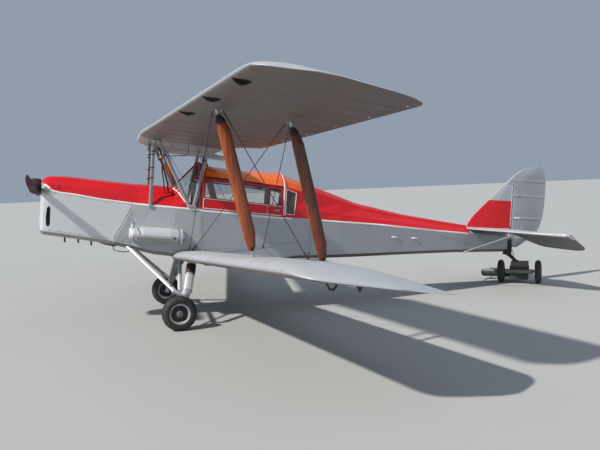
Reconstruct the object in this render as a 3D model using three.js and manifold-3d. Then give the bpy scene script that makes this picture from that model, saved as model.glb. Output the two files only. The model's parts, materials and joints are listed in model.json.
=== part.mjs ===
import * as THREE from 'three';
import { mergeVertices } from 'three/addons/utils/BufferGeometryUtils.js';
import Module from 'manifold-3d';

const wasm = await Module();
wasm.setup();

// A four-seat cabin biplane of the 1930s trainer type, parked with its tail skid on a small
// two-wheeled dolly. Millimetres. The airframe is drawn level, X forward, Y to port, Z up,
// with its origin on the main wheels' axle line, and is then pitched nose-up onto the ground.

const DEG = Math.PI / 180;

// Stance on the ground
const attitude = 5.4 * DEG;
const wheelRadius = 206;
const middleShift = 2100.75;

// Fits: still joints, hinge collars in their sockets, and running clearance
const gap = 0.3;
const clear = 6;
const collar = 0.4;
const wall = 20;

// Wheels and undercarriage
const wheelY = 946;
const wheelWidth = 150;
const hubRadius = 62;
const axleRadius = 22;
const stubInner = 846;

// Wings: root station, leading edge there, and the angles
const chord = 1333;
const halfSpan = 4600;
const rootY = 500;
const upper = { x: 521, z: 2123, sweep: 7.8 * DEG, dihedral: 2.41 * DEG, incidence: 6.2 * DEG };
const lower = { x: 65, z: 628, sweep: 6.65 * DEG, dihedral: 4.0 * DEG, incidence: 6.1 * DEG };
const centreHalf = 470;
const strutY = 2894;
const frontSpar = 0.16;
const rearSpar = 0.675;

// Ailerons on the lower wings
const aileronInner = 2150;
const aileronOuter = 4080;
const aileronHinge = 0.80;
const aileronNose = 36;

// Tail
const tailZ = 1118;
const tailThick = 58;
const tailHingeX = -5030;
const tailHalf = 1480;
const elevatorDroop = 27 * DEG;
const rudderHingeX = -5158;
const finThick = 44;
const finTopZ = 1806;
const hornGap = 10;
const rudderFootZ = 862;

// Propeller
const thrustZ = 1415;
const propRadius = 990;
const propX = 1722;
const bladeRaise = 2 * DEG;
const hubBackX = 1669;
const hubFrontX = 1818;

// Cabin
const doorFront = -275;
const doorRear = -1326;
const quarterFront = -1378;
const cabinRear = -1700;

// Dolly, in the ground's own frame
const dolly = { x: -5400, y: -30, turn: -42 * DEG, half: 278, radius: 180, width: 84, top: 338.5 };

const finish = (color, roughness, metalness) =>
  new THREE.MeshStandardMaterial({ color, roughness, metalness });
const paint = {
  silver: finish(0xb9bec4, 0.45, 0.35),
  red: finish(0xb81f30, 0.4, 0.05),
  orange: finish(0xf08a2c, 0.25, 0.0),
  glass: finish(0xcfd9dc, 0.1, 0.0),
  wood: finish(0x8a3d16, 0.45, 0.0),
  darkWood: finish(0x3b1a17, 0.35, 0.0),
  steel: finish(0x9a9fa4, 0.35, 0.8),
  wire: finish(0x6e7378, 0.35, 0.8),
  iron: finish(0x55585c, 0.7, 0.6),
  tyre: finish(0x1d1d1f, 0.85, 0.0),
  leather: finish(0x4a2a20, 0.7, 0.0),
  black: finish(0x202124, 0.6, 0.1),
  dollyGreen: finish(0x3c443c, 0.75, 0.1),
  copper: finish(0x5e4a40, 0.6, 0.7),
};

// Solids, cuts and joins
function toSolid(geometry) {
  const bare = geometry.clone();
  bare.deleteAttribute('normal');
  bare.deleteAttribute('uv');
  const merged = mergeVertices(bare, 1e-3);
  return new wasm.Manifold(new wasm.Mesh({
    numProp: 3,
    vertProperties: new Float32Array(merged.attributes.position.array),
    triVerts: new Uint32Array(merged.index.array),
  }));
}

function toGeometry(manifold) {
  const mesh = manifold.getMesh();
  const geometry = new THREE.BufferGeometry();
  geometry.setAttribute('position', new THREE.BufferAttribute(mesh.vertProperties, 3));
  geometry.setIndex(new THREE.BufferAttribute(mesh.triVerts, 1));
  geometry.computeVertexNormals();
  return geometry;
}

const join = (...solids) => solids.reduce((all, one) => all.add(one));
const cut = (solid, ...tools) => tools.reduce((left, tool) => left.subtract(tool), solid);

const v = (x, y, z) => new THREE.Vector3(x, y, z);

// A closed skin through rings of points that match one to one, capped at both ends
function loft(rings) {
  const count = rings[0].length;
  const points = rings.flat();
  const faces = [];
  for (let i = 0; i < rings.length - 1; i += 1) {
    for (let j = 0; j < count; j += 1) {
      const a = i * count + j;
      const b = i * count + (j + 1) % count;
      faces.push(a, b, b + count, a, b + count, a + count);
    }
  }
  for (const [end, flip] of [[0, true], [rings.length - 1, false]]) {
    const centre = points.length;
    const ring = rings[end];
    const sum = ring.reduce((total, p) => total.add(p), v(0, 0, 0));
    points.push(sum.divideScalar(count));
    for (let j = 0; j < count; j += 1) {
      const a = end * count + j;
      const b = end * count + (j + 1) % count;
      faces.push(centre, ...(flip ? [b, a] : [a, b]));
    }
  }
  const build = (order) => {
    const geometry = new THREE.BufferGeometry().setFromPoints(points);
    geometry.setIndex(order);
    return toSolid(geometry);
  };
  const solid = build(faces);
  if (solid.volume() > 0) return solid;
  const turned = [];
  for (let i = 0; i < faces.length; i += 3) turned.push(faces[i], faces[i + 2], faces[i + 1]);
  return build(turned);
}

function box(x0, x1, y0, y1, z0, z1) {
  const geometry = new THREE.BoxGeometry(x1 - x0, y1 - y0, z1 - z0);
  geometry.translate((x0 + x1) / 2, (y0 + y1) / 2, (z0 + z1) / 2);
  return toSolid(geometry);
}

// A side-view outline, points as [x, z], drawn out from y0 to y1
function sideProfile(outline, y0, y1) {
  const shape = new THREE.Shape(outline.map(([x, z]) => new THREE.Vector2(x, z)));
  const geometry = new THREE.ExtrudeGeometry(shape, { depth: y1 - y0, bevelEnabled: false, steps: 1 });
  geometry.rotateX(Math.PI / 2);
  geometry.translate(0, y1, 0);
  return toSolid(geometry);
}

// A round bar from one point to another
function rod(a, b, radius, sides = 10, endRadius = radius) {
  const axis = b.clone().sub(a);
  const geometry = new THREE.CylinderGeometry(endRadius, radius, axis.length(), sides);
  geometry.applyQuaternion(new THREE.Quaternion().setFromUnitVectors(v(0, 1, 0), axis.clone().normalize()));
  geometry.translate((a.x + b.x) / 2, (a.y + b.y) / 2, (a.z + b.z) / 2);
  return toSolid(geometry);
}

// A streamlined bar: stations are [share of the length, width along the wind, thickness, setback]
function blade(a, b, stations, wind = v(1, 0, 0), sides = 12) {
  const axis = b.clone().sub(a).normalize();
  const side = new THREE.Vector3().crossVectors(axis, wind).normalize();
  const fore = new THREE.Vector3().crossVectors(side, axis).normalize();
  const rings = stations.map(([share, width, thick, back = 0]) => {
    const centre = a.clone().lerp(b, share).addScaledVector(fore, -back);
    const ring = [];
    for (let i = 0; i < sides; i += 1) {
      const angle = i * 2 * Math.PI / sides;
      const along = Math.cos(angle) * width / 2;
      const taper = 1 + 0.25 * Math.cos(angle);
      ring.push(centre.clone().addScaledVector(fore, along)
        .addScaledVector(side, Math.sin(angle) * taper * thick / 2));
    }
    return ring;
  });
  return loft(rings);
}

// A solid turned about the Y axis line through a point
function turned(profile, centre, axis = v(0, 1, 0), segments = 28) {
  const points = profile.map(([r, h]) => new THREE.Vector2(r, h));
  const geometry = new THREE.LatheGeometry(points, segments);
  geometry.applyQuaternion(new THREE.Quaternion().setFromUnitVectors(v(0, 1, 0), axis));
  geometry.translate(centre.x, centre.y, centre.z);
  const solid = toSolid(geometry);
  return solid.volume() > 0 ? solid : toSolid(geometry.scale(1, 1, 1));
}

const stand = new THREE.Group();
stand.rotation.y = -attitude;
stand.position.set(middleShift, 0, wheelRadius);
const ground = new THREE.Group();
ground.position.x = middleShift;

function piece(name, solid, material, parent = stand) {
  const mesh = new THREE.Mesh(toGeometry(solid), material);
  mesh.name = name;
  parent.add(mesh);
  return mesh;
}

// The largest piece of a solid that is left after its cuts
const main = (solid) => solid.decompose().sort((a, b) => b.volume() - a.volume())[0];

const mirrorY = (solid) => solid.mirror([0, 1, 0]);

// Port and starboard copies of one solid
function pair(name, solid, material) {
  piece(`${name}_port`, solid, material);
  piece(`${name}_starboard`, mirrorY(solid), material);
}

// Body sections: [x, bottom z, half width, longeron z, sill half, sill z, rail half, rail z, crown z]
const bodyTable = [
  [1656, 868, 122, 1400, 110, 1436, 74, 1460, 1480],
  [1642, 842, 158, 1398, 138, 1446, 90, 1482, 1508],
  [1612, 828, 180, 1396, 158, 1452, 106, 1506, 1538],
  [1560, 822, 194, 1390, 172, 1452, 114, 1516, 1550],
  [1390, 806, 214, 1366, 192, 1448, 128, 1520, 1560],
  [1030, 766, 250, 1318, 226, 1412, 152, 1493, 1540],
  [830, 742, 268, 1296, 242, 1396, 164, 1478, 1528],
  [560, 688, 292, 1270, 264, 1373, 188, 1456, 1512],
  [300, 637, 364, 1257, 330, 1363, 234, 1449, 1508],
  [60, 620, 425, 1246, 385, 1354, 274, 1440, 1499],
  [-255, 577, 470, 1236, 468, 1378, 450, 1642, 1846],
  [-380, 572, 470, 1230, 468, 1370, 450, 1634, 1806],
  [-800, 552, 470, 1209, 468, 1346, 450, 1615, 1784],
  [-1230, 552, 469, 1187, 467, 1325, 447, 1584, 1781],
  [-1330, 582, 468, 1182, 466, 1318, 446, 1574, 1780],
  [-1520, 634, 462, 1174, 458, 1306, 424, 1532, 1728],
  [-1700, 641, 456, 1166, 446, 1290, 388, 1476, 1664],
];
const rearTable = [
  [-1700, 641, 456, 1166, 446, 1290, 388, 1476, 1664],
  [-2160, 661, 425, 1152, 396, 1250, 300, 1385, 1526],
  [-2480, 678, 392, 1144, 350, 1222, 240, 1320, 1424],
  [-3250, 722, 300, 1108, 240, 1165, 138, 1228, 1290],
  [-4070, 762, 190, 1072, 140, 1106, 70, 1150, 1198],
  [-4330, 768, 152, 1060, 110, 1088, 54, 1124, 1172],
  [-5080, 788, 44, 1028, 34, 1044, 20, 1062, 1080],
];

function bodyRing([x, bottom, half, longeron, sillHalf, sillZ, railHalf, railZ, crown], inset) {
  const side = [
    [half - 46 - inset, bottom + inset],
    [half - inset, bottom + 46 + inset * 0.4],
    [half - inset, longeron],
    [sillHalf - inset, sillZ],
    [railHalf - inset, railZ - inset * 0.4],
  ];
  const rise = crown - railZ - inset * 0.6;
  for (const turn of [28, 52, 74]) {
    const across = (railHalf - inset) * Math.cos(turn * DEG);
    side.push([across, railZ - inset * 0.4 + rise * Math.sin(turn * DEG)]);
  }
  const ring = side.map(([y, z]) => v(x, y, z));
  ring.push(v(x, 0, crown - inset));
  for (const [y, z] of side.slice().reverse()) ring.push(v(x, -y, z));
  ring.push(v(x, 0, bottom + inset));
  return ring;
}

const bodyLoft = (table, inset) => loft(table.map((row) => bodyRing(row, inset)));

// The same body seen from inside the wall: its nose stays closed and its rear is open
function bodyCore(inset, table = bodyTable) {
  const rows = table.map((row) => row.slice());
  rows[0][0] -= inset;
  rows[rows.length - 1][0] -= 1;
  return bodyLoft(rows, inset);
}

const bodyOuter = bodyLoft(bodyTable, 0);
const bodyShell = cut(bodyOuter, bodyCore(wall));

// The painted line along the body, as [x, z], which is also where upper and lower panels meet
const cheatLine = [
  [1700, 1476], [1644, 1467], [1570, 1432], [1520, 1384], [1440, 1362], [1256, 1347], [960, 1306],
  [527, 1269], [-262, 1236], [-1344, 1182], [-2723, 1144], [-3796, 1084], [-4350, 1060], [-5200, 1024],
];
const far = 3000;
const wide = 900;
const aboveLine = sideProfile([...cheatLine, [-5200, far], [1700, far]], -wide, wide);
const belowLine = sideProfile(
  [...cheatLine.map(([x, z]) => [x, z - gap]), [-5200, 0], [1700, 0]], -wide, wide);

// The seam that leans forward from the line down to the belly, between cowl and front body
const seamTop = [554, 1266];
const seamFoot = [819, 720];
const seamSlope = (seamFoot[0] - seamTop[0]) / (seamFoot[1] - seamTop[1]);
const seamAt = (z) => seamTop[0] + (z - seamTop[1]) * seamSlope;
const aheadOfSeam = (shift) => sideProfile(
  [[seamAt(0) + shift, 0], [seamAt(far) + shift, far], [2000, far], [2000, 0]], -wide, wide);
const behindSeam = (shift) => sideProfile(
  [[seamAt(0) + shift, 0], [seamAt(far) + shift, far], [-6000, far], [-6000, 0]], -wide, wide);

const upperShell = bodyShell.intersect(aboveLine);
const lowerShell = bodyShell.intersect(belowLine);
const scuttleFront = 527;

// Engine cowl, its intake, its shaft hole and the outlet under its rear
const shaftHole = rod(v(1400, 0, thrustZ), v(1700, 0, thrustZ), 49, 16);
const intakeOutline = [[1532, 962], [1540, 938], [1558, 930], [1577, 944], [1584, 1050], [1572, 1160], [1558, 1176],
  [1542, 1172], [1532, 1154]];
const intake = sideProfile(intakeOutline, 90, wide);
const outlet = box(700, 1000, -150, 150, 600, 790);
piece('cowl_top', cut(upperShell.intersect(box(scuttleFront + gap, 2000, -wide, wide, 0, far)), shaftHole),
  paint.red);
piece('cowl_sides', cut(lowerShell.intersect(aheadOfSeam(gap)), shaftHole, intake, outlet), paint.silver);

// Engine, one plain block on two bearers that run back to the firewall
const firewallX = 500;
const engineFront = 1500;
const engineBlock = join(
  box(760, engineFront, -105, 105, 880, 1330),
  rod(v(1300, 0, thrustZ), v(hubBackX, 0, thrustZ), 44, 16),
  box(1250, 1500, -90, 90, 1300, 1420),
  box(firewallX + gap, 1200, 60, 100, 900, 940),
  box(firewallX + gap, 1200, -100, -60, 900, 940),
);
piece('engine_block', engineBlock, paint.iron);
const coreForPlates = bodyCore(wall + gap);
piece('firewall', coreForPlates.intersect(box(firewallX - 12, firewallX, -wide, wide, 0, far)), paint.steel);

// Propeller of two wooden blades that lie level, with a metal boss and cap
const bladeStations = [
  // share of the radius, width, thickness, pitch angle
  [0.05, 110, 90, 44],
  [0.14, 134, 84, 40],
  [0.3, 196, 58, 29],
  [0.5, 222, 40, 22],
  [0.72, 200, 26, 16],
  [0.9, 146, 16, 14],
  [0.98, 86, 10, 13],
  [1.0, 40, 6, 13],
];
function propBlade(direction) {
  const rings = bladeStations.map(([share, width, thick, pitch]) => {
    const ring = [];
    const y = direction * share * propRadius;
    for (let i = 0; i < 12; i += 1) {
      const angle = i * 30 * DEG;
      const along = Math.cos(angle) * width / 2;
      const across = Math.sin(angle) * thick / 2;
      const turn = pitch * DEG * direction;
      ring.push(v(propX + along * Math.sin(Math.abs(turn)) + across * Math.cos(turn), y,
        thrustZ + direction * along * Math.cos(turn) - direction * across * Math.sin(Math.abs(turn))));
    }
    return ring;
  });
  return loft(rings);
}
const blades = turnAbout(join(propBlade(1), propBlade(-1)), v(0, 0, thrustZ), v(1, 0, thrustZ), bladeRaise);
const propeller = join(
  blades,
  rod(v(hubBackX + gap, 0, thrustZ), v(hubBackX + 18, 0, thrustZ), 92, 24),
  rod(v(hubBackX + 17, 0, thrustZ), v(1776, 0, thrustZ), 98, 24, 90),
  rod(v(1775, 0, thrustZ), v(1792, 0, thrustZ), 84, 24),
  rod(v(1791, 0, thrustZ), v(hubFrontX, 0, thrustZ), 38, 20, 28),
);
piece('propeller', propeller, paint.darkWood);

// Front body: the tub of the cabin, with its doors' sills along the painted line
const tub = lowerShell.intersect(behindSeam(-gap));
piece('front_fuselage', cut(tub, outlet), paint.silver);

// Scuttle decking ahead of the windscreen; its rear edge is the screen's foot
const screenFoot = [[90, 1512], [60, 1496], [8, 1455], [-66, 1352], [-149, 1262], [-236, 1240], [-262, 1236]];
const scuttleSide = sideProfile([
  [scuttleFront, 900], [scuttleFront, far], [90, far], ...screenFoot, [-262, 900]], -wide, wide);
piece('scuttle_deck', upperShell.intersect(scuttleSide), paint.red);
piece('instrument_panel', coreForPlates.intersect(aboveLine)
  .intersect(box(100, 112, -wide, wide, 0, 1480)), paint.black);

// Cabin frame: what is left of the upper shell when its windows and doors are cut out of it
const frameRear = -1546;
const cabinZone = sideProfile([
  ...screenFoot.map(([x, z]) => [x - gap, z + gap]),
  [frameRear, 1180], [frameRear, 1515], [cabinRear, 1470], [cabinRear, far], [90, far]], -wide, wide);
const doorOutline = [[doorFront, 1232], [doorRear, 1181], [doorRear, 1556], [-800, 1599], [-380, 1618],
  [doorFront, 1624]];
const doorWindow = [[-304, 1385], [-1294, 1329], [-1294, 1532], [-800, 1574], [-380, 1594], [-308, 1598]];
const quarterWindow = [[quarterFront, 1230], [-1486, 1224], [-1514, 1500], [quarterFront, 1538]];
const screenWindow = [[52, 1512], [-56, 1392], [-140, 1292], [-214, 1264], [-236, 1262], [-241, 1610],
  [-241, 1816]];
const roofFront = [[-306, 1652], [-380, 1648], [-800, 1630], [doorRear, 1588], [doorRear, 1900],
  [-306, 1900]];
const roofRear = [[quarterFront, 1582], [-1508, 1552], [-1590, 1530], [-1650, 1560], [-1650, 1900],
  [quarterFront, 1900]];
const across = (outline) => sideProfile(outline, -wide, wide);
const portSide = (outline) => sideProfile(outline, 330, wide);
const screenMullion = box(-400, 200, -11, 11, 1000, far);
const openings = [
  cut(across(screenWindow), screenMullion),
  across(roofFront),
  across(roofRear),
];
const sideOpenings = [portSide(doorOutline), portSide(quarterWindow)];
const doorHinge = [v(doorFront, 452.5, 1622), v(doorRear, 449, 1555.5)];
const hingeRods = (radius, spare) => [[0.07, 0.17], [0.83, 0.93]].map(([a, b]) => rod(
  doorHinge[0].clone().lerp(doorHinge[1], a - spare), doorHinge[0].clone().lerp(doorHinge[1], b + spare),
  radius, 24));
const hingeSeats = hingeRods(8 + collar, 0.004);
const frameShell = upperShell.intersect(cabinZone);
const cabinFrame = cut(frameShell, ...openings, ...sideOpenings, ...sideOpenings.map(mirrorY),
  ...hingeSeats, ...hingeSeats.map(mirrorY));
piece('cabin_frame', cabinFrame, paint.red);

// Transparent panels lie in the middle of the wall's thickness
const paneShell = cut(bodyCore(7), bodyCore(13));
const shrink = (outline, by) => {
  const shape = outline.map(([x, z]) => new THREE.Vector2(x, z));
  const ccw = THREE.ShapeUtils.area(shape) > 0 ? 1 : -1;
  return shape.map((p, i) => {
    const before = shape[(i + shape.length - 1) % shape.length];
    const after = shape[(i + 1) % shape.length];
    const a = p.clone().sub(before).normalize();
    const b = after.clone().sub(p).normalize();
    const na = new THREE.Vector2(-a.y, a.x).multiplyScalar(ccw);
    const nb = new THREE.Vector2(-b.y, b.x).multiplyScalar(ccw);
    const n = na.add(nb).normalize();
    const scale = by / Math.max(0.3, n.dot(nb));
    return [p.x + n.x * scale, p.y + n.y * scale];
  });
};
const screenPane = paneShell.intersect(across(shrink(screenWindow, gap)));
pair('windscreen', screenPane.intersect(box(-400, 200, 11 + gap, wide, 1000, far)), paint.glass);
piece('roof_panel_front', paneShell.intersect(across(shrink(roofFront, gap))), paint.orange);
piece('roof_panel_rear', paneShell.intersect(across(shrink(roofRear, gap))), paint.orange);
pair('quarter_glass', paneShell.intersect(portSide(shrink(quarterWindow, gap))), paint.glass);

// Doors of the cabin's sides, hung from the roof rail
const doorBlank = upperShell.intersect(portSide(shrink(doorOutline, 5.5)));
pair('door', join(cut(doorBlank, portSide(doorWindow)), ...hingeRods(8, 0)), paint.red);
pair('door_glass', paneShell.intersect(portSide(shrink(doorWindow, gap))), paint.glass);

// Rear body: silver below the line, red decking above it
const tailLow = tailZ - tailThick / 2;
const rearOuter = bodyLoft(rearTable, 0);
const rearCut = box(-6000, cabinRear - gap, -wide, wide, 0, far);
piece('rear_fuselage', rearOuter.intersect(belowLine).intersect(rearCut), paint.silver);
const deckZone = sideProfile([
  [frameRear - gap, 1100], [frameRear - gap, 1515 - gap], [cabinRear - gap, 1470 - gap], [cabinRear - gap, far],
  [-4334, far], [-4334, tailLow - gap], [-5080, tailLow - gap], [-5080, 900]], -wide, wide);
const deckShell = upperShell.intersect(deckZone);
const deckSolid = rearOuter.intersect(aboveLine).intersect(deckZone).intersect(
  box(-6000, cabinRear + 0, -wide, wide, 0, far));
piece('rear_decking', join(deckShell, deckSolid), paint.red);

// Seats on the cabin floor
const cabinCore = bodyCore(wall + 1);
function seat(xBack, xFront, y0, y1, floorZ, seatZ, backZ) {
  const outline = [[xFront, floorZ], [xFront, seatZ + 26], [xBack + 130, seatZ], [xBack + 40, backZ],
    [xBack - 70, backZ], [xBack, floorZ]];
  return sideProfile(outline, y0, y1).intersect(cabinCore);
}
const frontSeat = seat(-760, -330, 22, 425, 500, 880, 1300);
piece('front_seats', join(frontSeat, mirrorY(frontSeat), box(-420, -380, -60, 60, 700, 740)), paint.leather);
piece('rear_seat', seat(-1560, -1120, -425, 425, 500, 900, 1330), paint.leather);

// Wing section: [share of the chord, top, bottom] in shares of the chord, above its flat under side
const sectionTable = [
  [0, 0.035, 0.035], [0.012, 0.0545, 0.0185], [0.05, 0.079, 0.0093], [0.12, 0.1, 0.003],
  [0.3, 0.117, 0], [0.5, 0.1052, 0], [0.7, 0.0735, 0], [0.88, 0.034, 0], [1, 0.0055, 0],
];
const noseLift = 0.035;

// A point of a wing: spanwise y, chord share u, height h above the line from nose to tail
function wingPoint(wing, y, u, h = 0) {
  const out = Math.abs(y) - rootY;
  const nose = v(wing.x - out * Math.tan(wing.sweep), y, wing.z + out * Math.tan(wing.dihedral));
  const along = u * chord;
  return nose.add(v(-along * Math.cos(wing.incidence) + h * Math.sin(wing.incidence), 0,
    -along * Math.sin(wing.incidence) + h * Math.cos(wing.incidence)));
}

function surfaceHeight(u, top) {
  for (let i = 1; i < sectionTable.length; i += 1) {
    const [u1, t1, b1] = sectionTable[i];
    const [u0, t0, b0] = sectionTable[i - 1];
    if (u <= u1) {
      const f = (u - u0) / (u1 - u0);
      const value = top ? t0 + (t1 - t0) * f : b0 + (b1 - b0) * f;
      return (value - noseLift * (1 - u)) * chord;
    }
  }
  return 0;
}

// One rib outline between chord shares u0 and u1, its depth scaled towards the mean line
function rib(wing, y, u0, u1, depth) {
  const place = (share, top) => {
    const u = u0 + share * (u1 - u0);
    const mean = (surfaceHeight(u, true) + surfaceHeight(u, false)) / 2;
    const own = sectionTable.find(([s]) => s === share);
    const half = (own[1] - own[2]) / 2 * chord * depth * (top ? 1 : -1);
    const camber = ((own[1] + own[2]) / 2 - noseLift * (1 - share)) * chord * depth;
    return wingPoint(wing, y, u, mean * (1 - depth) + camber + half);
  };
  const shares = sectionTable.map(([s]) => s);
  const topSide = shares.slice(1).map((s) => place(s, true)).reverse();
  const underSide = shares.slice(1).map((s) => place(s, false));
  return [...topSide, place(0, true), ...underSide];
}

// Ribs of one wing out to its rounded tip: [y, first share, last share, depth]
const tipRibs = [
  [4180, 0, 1, 1],
  [4300, 0.006, 0.968, 0.94],
  [4390, 0.028, 0.905, 0.82],
  [4460, 0.075, 0.825, 0.66],
  [4520, 0.2, 0.735, 0.46],
  [4560, 0.33, 0.68, 0.3],
  [4600, 0.46, 0.6, 0.12],
];
const upperRibs = [
  [centreHalf + gap, 0, 0.80, 1],
  [640, 0, 0.815, 1],
  [800, 0, 0.86, 1],
  [960, 0, 0.955, 1],
  [1080, 0, 0.992, 1],
  [1220, 0, 1, 1],
  ...tipRibs,
];
const lowerRibs = [[380, 0, 1, 1], ...tipRibs];
const wingLoft = (wing, ribs) => loft(ribs.map(([y, u0, u1, depth]) => rib(wing, y, u0, u1, depth)));

pair('upper_wing', wingLoft(upper, upperRibs), paint.silver);
const centreRibs = [-centreHalf, -centreHalf / 2, 0, centreHalf / 2, centreHalf].map((y) => [y, 0, 0.8, 1]);
const centreWing = { ...upper, sweep: 0, dihedral: 0 };
centreWing.x = upper.x + (rootY - centreHalf) * Math.tan(upper.sweep);
centreWing.z = upper.z - (rootY - centreHalf) * Math.tan(upper.dihedral);
piece('centre_section', wingLoft(centreWing, centreRibs), paint.silver);

// Lower wing, less the bay that its aileron swings in
const hingeHeight = (surfaceHeight(aileronHinge, true) + surfaceHeight(aileronHinge, false)) / 2;
const hingeInner = wingPoint(lower, aileronInner, aileronHinge, hingeHeight);
const hingeOuter = wingPoint(lower, aileronOuter, aileronHinge, hingeHeight);
function aileronZone(margin, noseRadius) {
  const corners = [];
  for (const y of [aileronInner - margin, aileronOuter + margin]) {
    corners.push([
      wingPoint(lower, y, aileronHinge, -180), wingPoint(lower, y, aileronHinge, 180),
      wingPoint(lower, y, 1.1, 180), wingPoint(lower, y, 1.1, -180)]);
  }
  const axis = hingeOuter.clone().sub(hingeInner).normalize();
  const nose = rod(hingeInner.clone().addScaledVector(axis, -margin),
    hingeOuter.clone().addScaledVector(axis, margin), noseRadius, margin ? 48 : 20);
  const ends = box(-3000, 2000, aileronInner - margin, aileronOuter + margin, 0, 2000);
  return join(loft(corners), nose).intersect(ends);
}
const lowerBlank = cut(wingLoft(lower, lowerRibs), bodyLoft(bodyTable, -gap));
const bayCut = aileronZone(clear, aileronNose + clear);
pair('lower_wing', cut(lowerBlank, bayCut), paint.silver);

function turnAbout(solid, a, b, angle) {
  const axis = b.clone().sub(a).normalize();
  const move = new THREE.Matrix4().makeTranslation(a.x, a.y, a.z)
    .multiply(new THREE.Matrix4().makeRotationAxis(axis, angle))
    .multiply(new THREE.Matrix4().makeTranslation(-a.x, -a.y, -a.z));
  return solid.transform(move.elements);
}
const aileron = wingLoft(lower, lowerRibs).intersect(aileronZone(0, aileronNose));
const aileronCollars = [0.08, 0.5, 0.92].map((share) => {
  const middle = hingeInner.clone().lerp(hingeOuter, share);
  const axis = hingeOuter.clone().sub(hingeInner).normalize();
  return rod(middle.clone().addScaledVector(axis, -14), middle.clone().addScaledVector(axis, 14),
    aileronNose + clear - collar, 48);
});
pair('aileron', join(aileron, ...aileronCollars), paint.silver);

// Bars that end on a wing run a little into it and are trimmed back to its skin
const upperSkin = join(wingLoft({ ...upper, z: upper.z - gap }, upperRibs),
  wingLoft({ ...centreWing, z: centreWing.z - gap }, centreRibs));
const lowerTop = wingLoft({ ...lower, z: lower.z + gap }, lowerRibs);
const trim = (solid) => main(cut(solid, upperSkin, lowerTop));

// Interplane struts of varnished wood, with steel ends
const strutStations = [[0, 30, 20, 0], [0.045, 36, 22, 0], [0.07, 78, 34, 8], [0.16, 114, 42, 18],
  [0.5, 122, 46, 18], [0.84, 114, 42, 18], [0.93, 78, 34, 8], [0.955, 36, 22, 0], [1, 30, 20, 0]];
function sparPoint(wing, y, share, top) {
  const h = surfaceHeight(share, top) + (top ? -8 : 8);
  return wingPoint(wing, y, share, h);
}
const strutFeet = {};
for (const [place, share] of [['front', frontSpar], ['rear', rearSpar]]) {
  const foot = sparPoint(lower, strutY, share, true);
  const head = sparPoint(upper, strutY, share, false);
  strutFeet[place] = { foot, head };
  pair(`interplane_strut_${place}`, trim(blade(foot, head, strutStations)), paint.wood);
}

// Bracing wires of each side: two flying wires, one between the struts, and one back to the root
const wireRadius = 4;
const frontRoot = wingPoint(lower, 492, 0.16, surfaceHeight(0.16, true) - 6);
const dragRoot = wingPoint(lower, 492, 0.19, surfaceHeight(0.19, true) - 6);
const wireRuns = [
  // name, lower end, upper end
  ['flying_wire_front', frontRoot, strutFeet.front.head.clone().add(v(28, -40, 0))],
  ['flying_wire_rear', v(-1089, 462, 766), strutFeet.rear.head.clone().add(v(-8, -40, 0))],
  ['incidence_wire', strutFeet.rear.foot.clone().add(v(112, 0, 0)), strutFeet.front.head.clone().add(v(-50, 0, 0))],
  ['drag_wire', dragRoot, strutFeet.rear.head.clone().add(v(24, -40, 0))],
];
for (const [name, low, high] of wireRuns) {
  pair(name, main(cut(trim(rod(low, high, wireRadius, 6)), bodyLoft(bodyTable, -gap))), paint.wire);
}

// Cabane struts of each side, joined at their shared feet on the longeron
const cabaneSize = [[0, 44, 26], [1, 44, 26]];
const cabaneY = 456;
const frontFoot = v(356, 362, 1226);
const diagonalFoot = v(-123, 466, 1248);
const rearFoot = v(-166, 468, 1240);
const frontHead = sparPoint(centreWing, cabaneY, 0.125, false);
const diagonalHead = sparPoint(centreWing, cabaneY, 0.165, false);
const rearHead = sparPoint(centreWing, cabaneY, 0.64, false);
const between = (a, b, share) => a.clone().lerp(b, share);
const cabane = join(
  blade(frontFoot, frontHead, cabaneSize),
  blade(diagonalFoot, diagonalHead, cabaneSize),
  blade(rearFoot, rearHead, cabaneSize),
  rod(between(diagonalFoot, diagonalHead, 0.02), between(rearFoot, rearHead, 0.03), 20, 10),
  rod(between(frontHead, frontFoot, 0.05), between(diagonalHead, diagonalFoot, 0.06), 16, 10),
);
pair('cabane_struts', trim(cut(cabane, bodyLoft(bodyTable, -gap))), paint.steel);

// Oil tank on the port side of the front body: [x, outer y, share of the depth]
const tankTable = [
  [600, 470, 0.5], [592, 528, 0.8], [560, 574, 0.97], [430, 598, 1], [110, 600, 1], [10, 588, 0.92],
  [-52, 556, 0.7], [-85, 500, 0.35],
];
const tankRing = ([x, reach, share]) => {
  const top = 980 - (600 - x) * 0.016;
  const bottom = 812 - (600 - x) * 0.04;
  const high = (top - bottom) / 2;
  const mid = top - high - (1 - share) * high * 0.25;
  const ring = [];
  for (let i = 0; i <= 10; i += 1) {
    const angle = (-90 + i * 18) * DEG;
    ring.push(v(x, reach - high + Math.cos(angle) * high, mid + Math.sin(angle) * high * share));
  }
  ring.push(v(x, 250, mid + high * share), v(x, 250, mid - high * share));
  return ring;
};
const tankBlank = loft(tankTable.map(tankRing));
const oilTank = join(cut(tankBlank, bodyLoft(bodyTable, -gap), lowerTop),
  rod(v(562, 512, 940), v(562, 512, 1022), 22, 12));
piece('oil_tank', cut(oilTank, bodyLoft(bodyTable, -gap)), paint.silver);

// Exhaust pipe low on the starboard side, out of the cowl and back under the body
const exhaustPath = new THREE.CatmullRomCurve3([v(1180, -200, 900), v(1150, -262, 850), v(1040, -300, 790),
  v(900, -312, 726), v(740, -316, 696)]);
const exhaustShape = new THREE.Shape();
exhaustShape.absarc(0, 0, 34, 0, 2 * Math.PI);
const exhaustPipe = toSolid(new THREE.ExtrudeGeometry(exhaustShape,
  { steps: 14, extrudePath: exhaustPath, curveSegments: 6, bevelEnabled: false }));
piece('exhaust_pipe', cut(exhaustPipe.volume() > 0 ? exhaustPipe : exhaustPipe, bodyLoft(bodyTable, -gap)),
  paint.copper);

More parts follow.
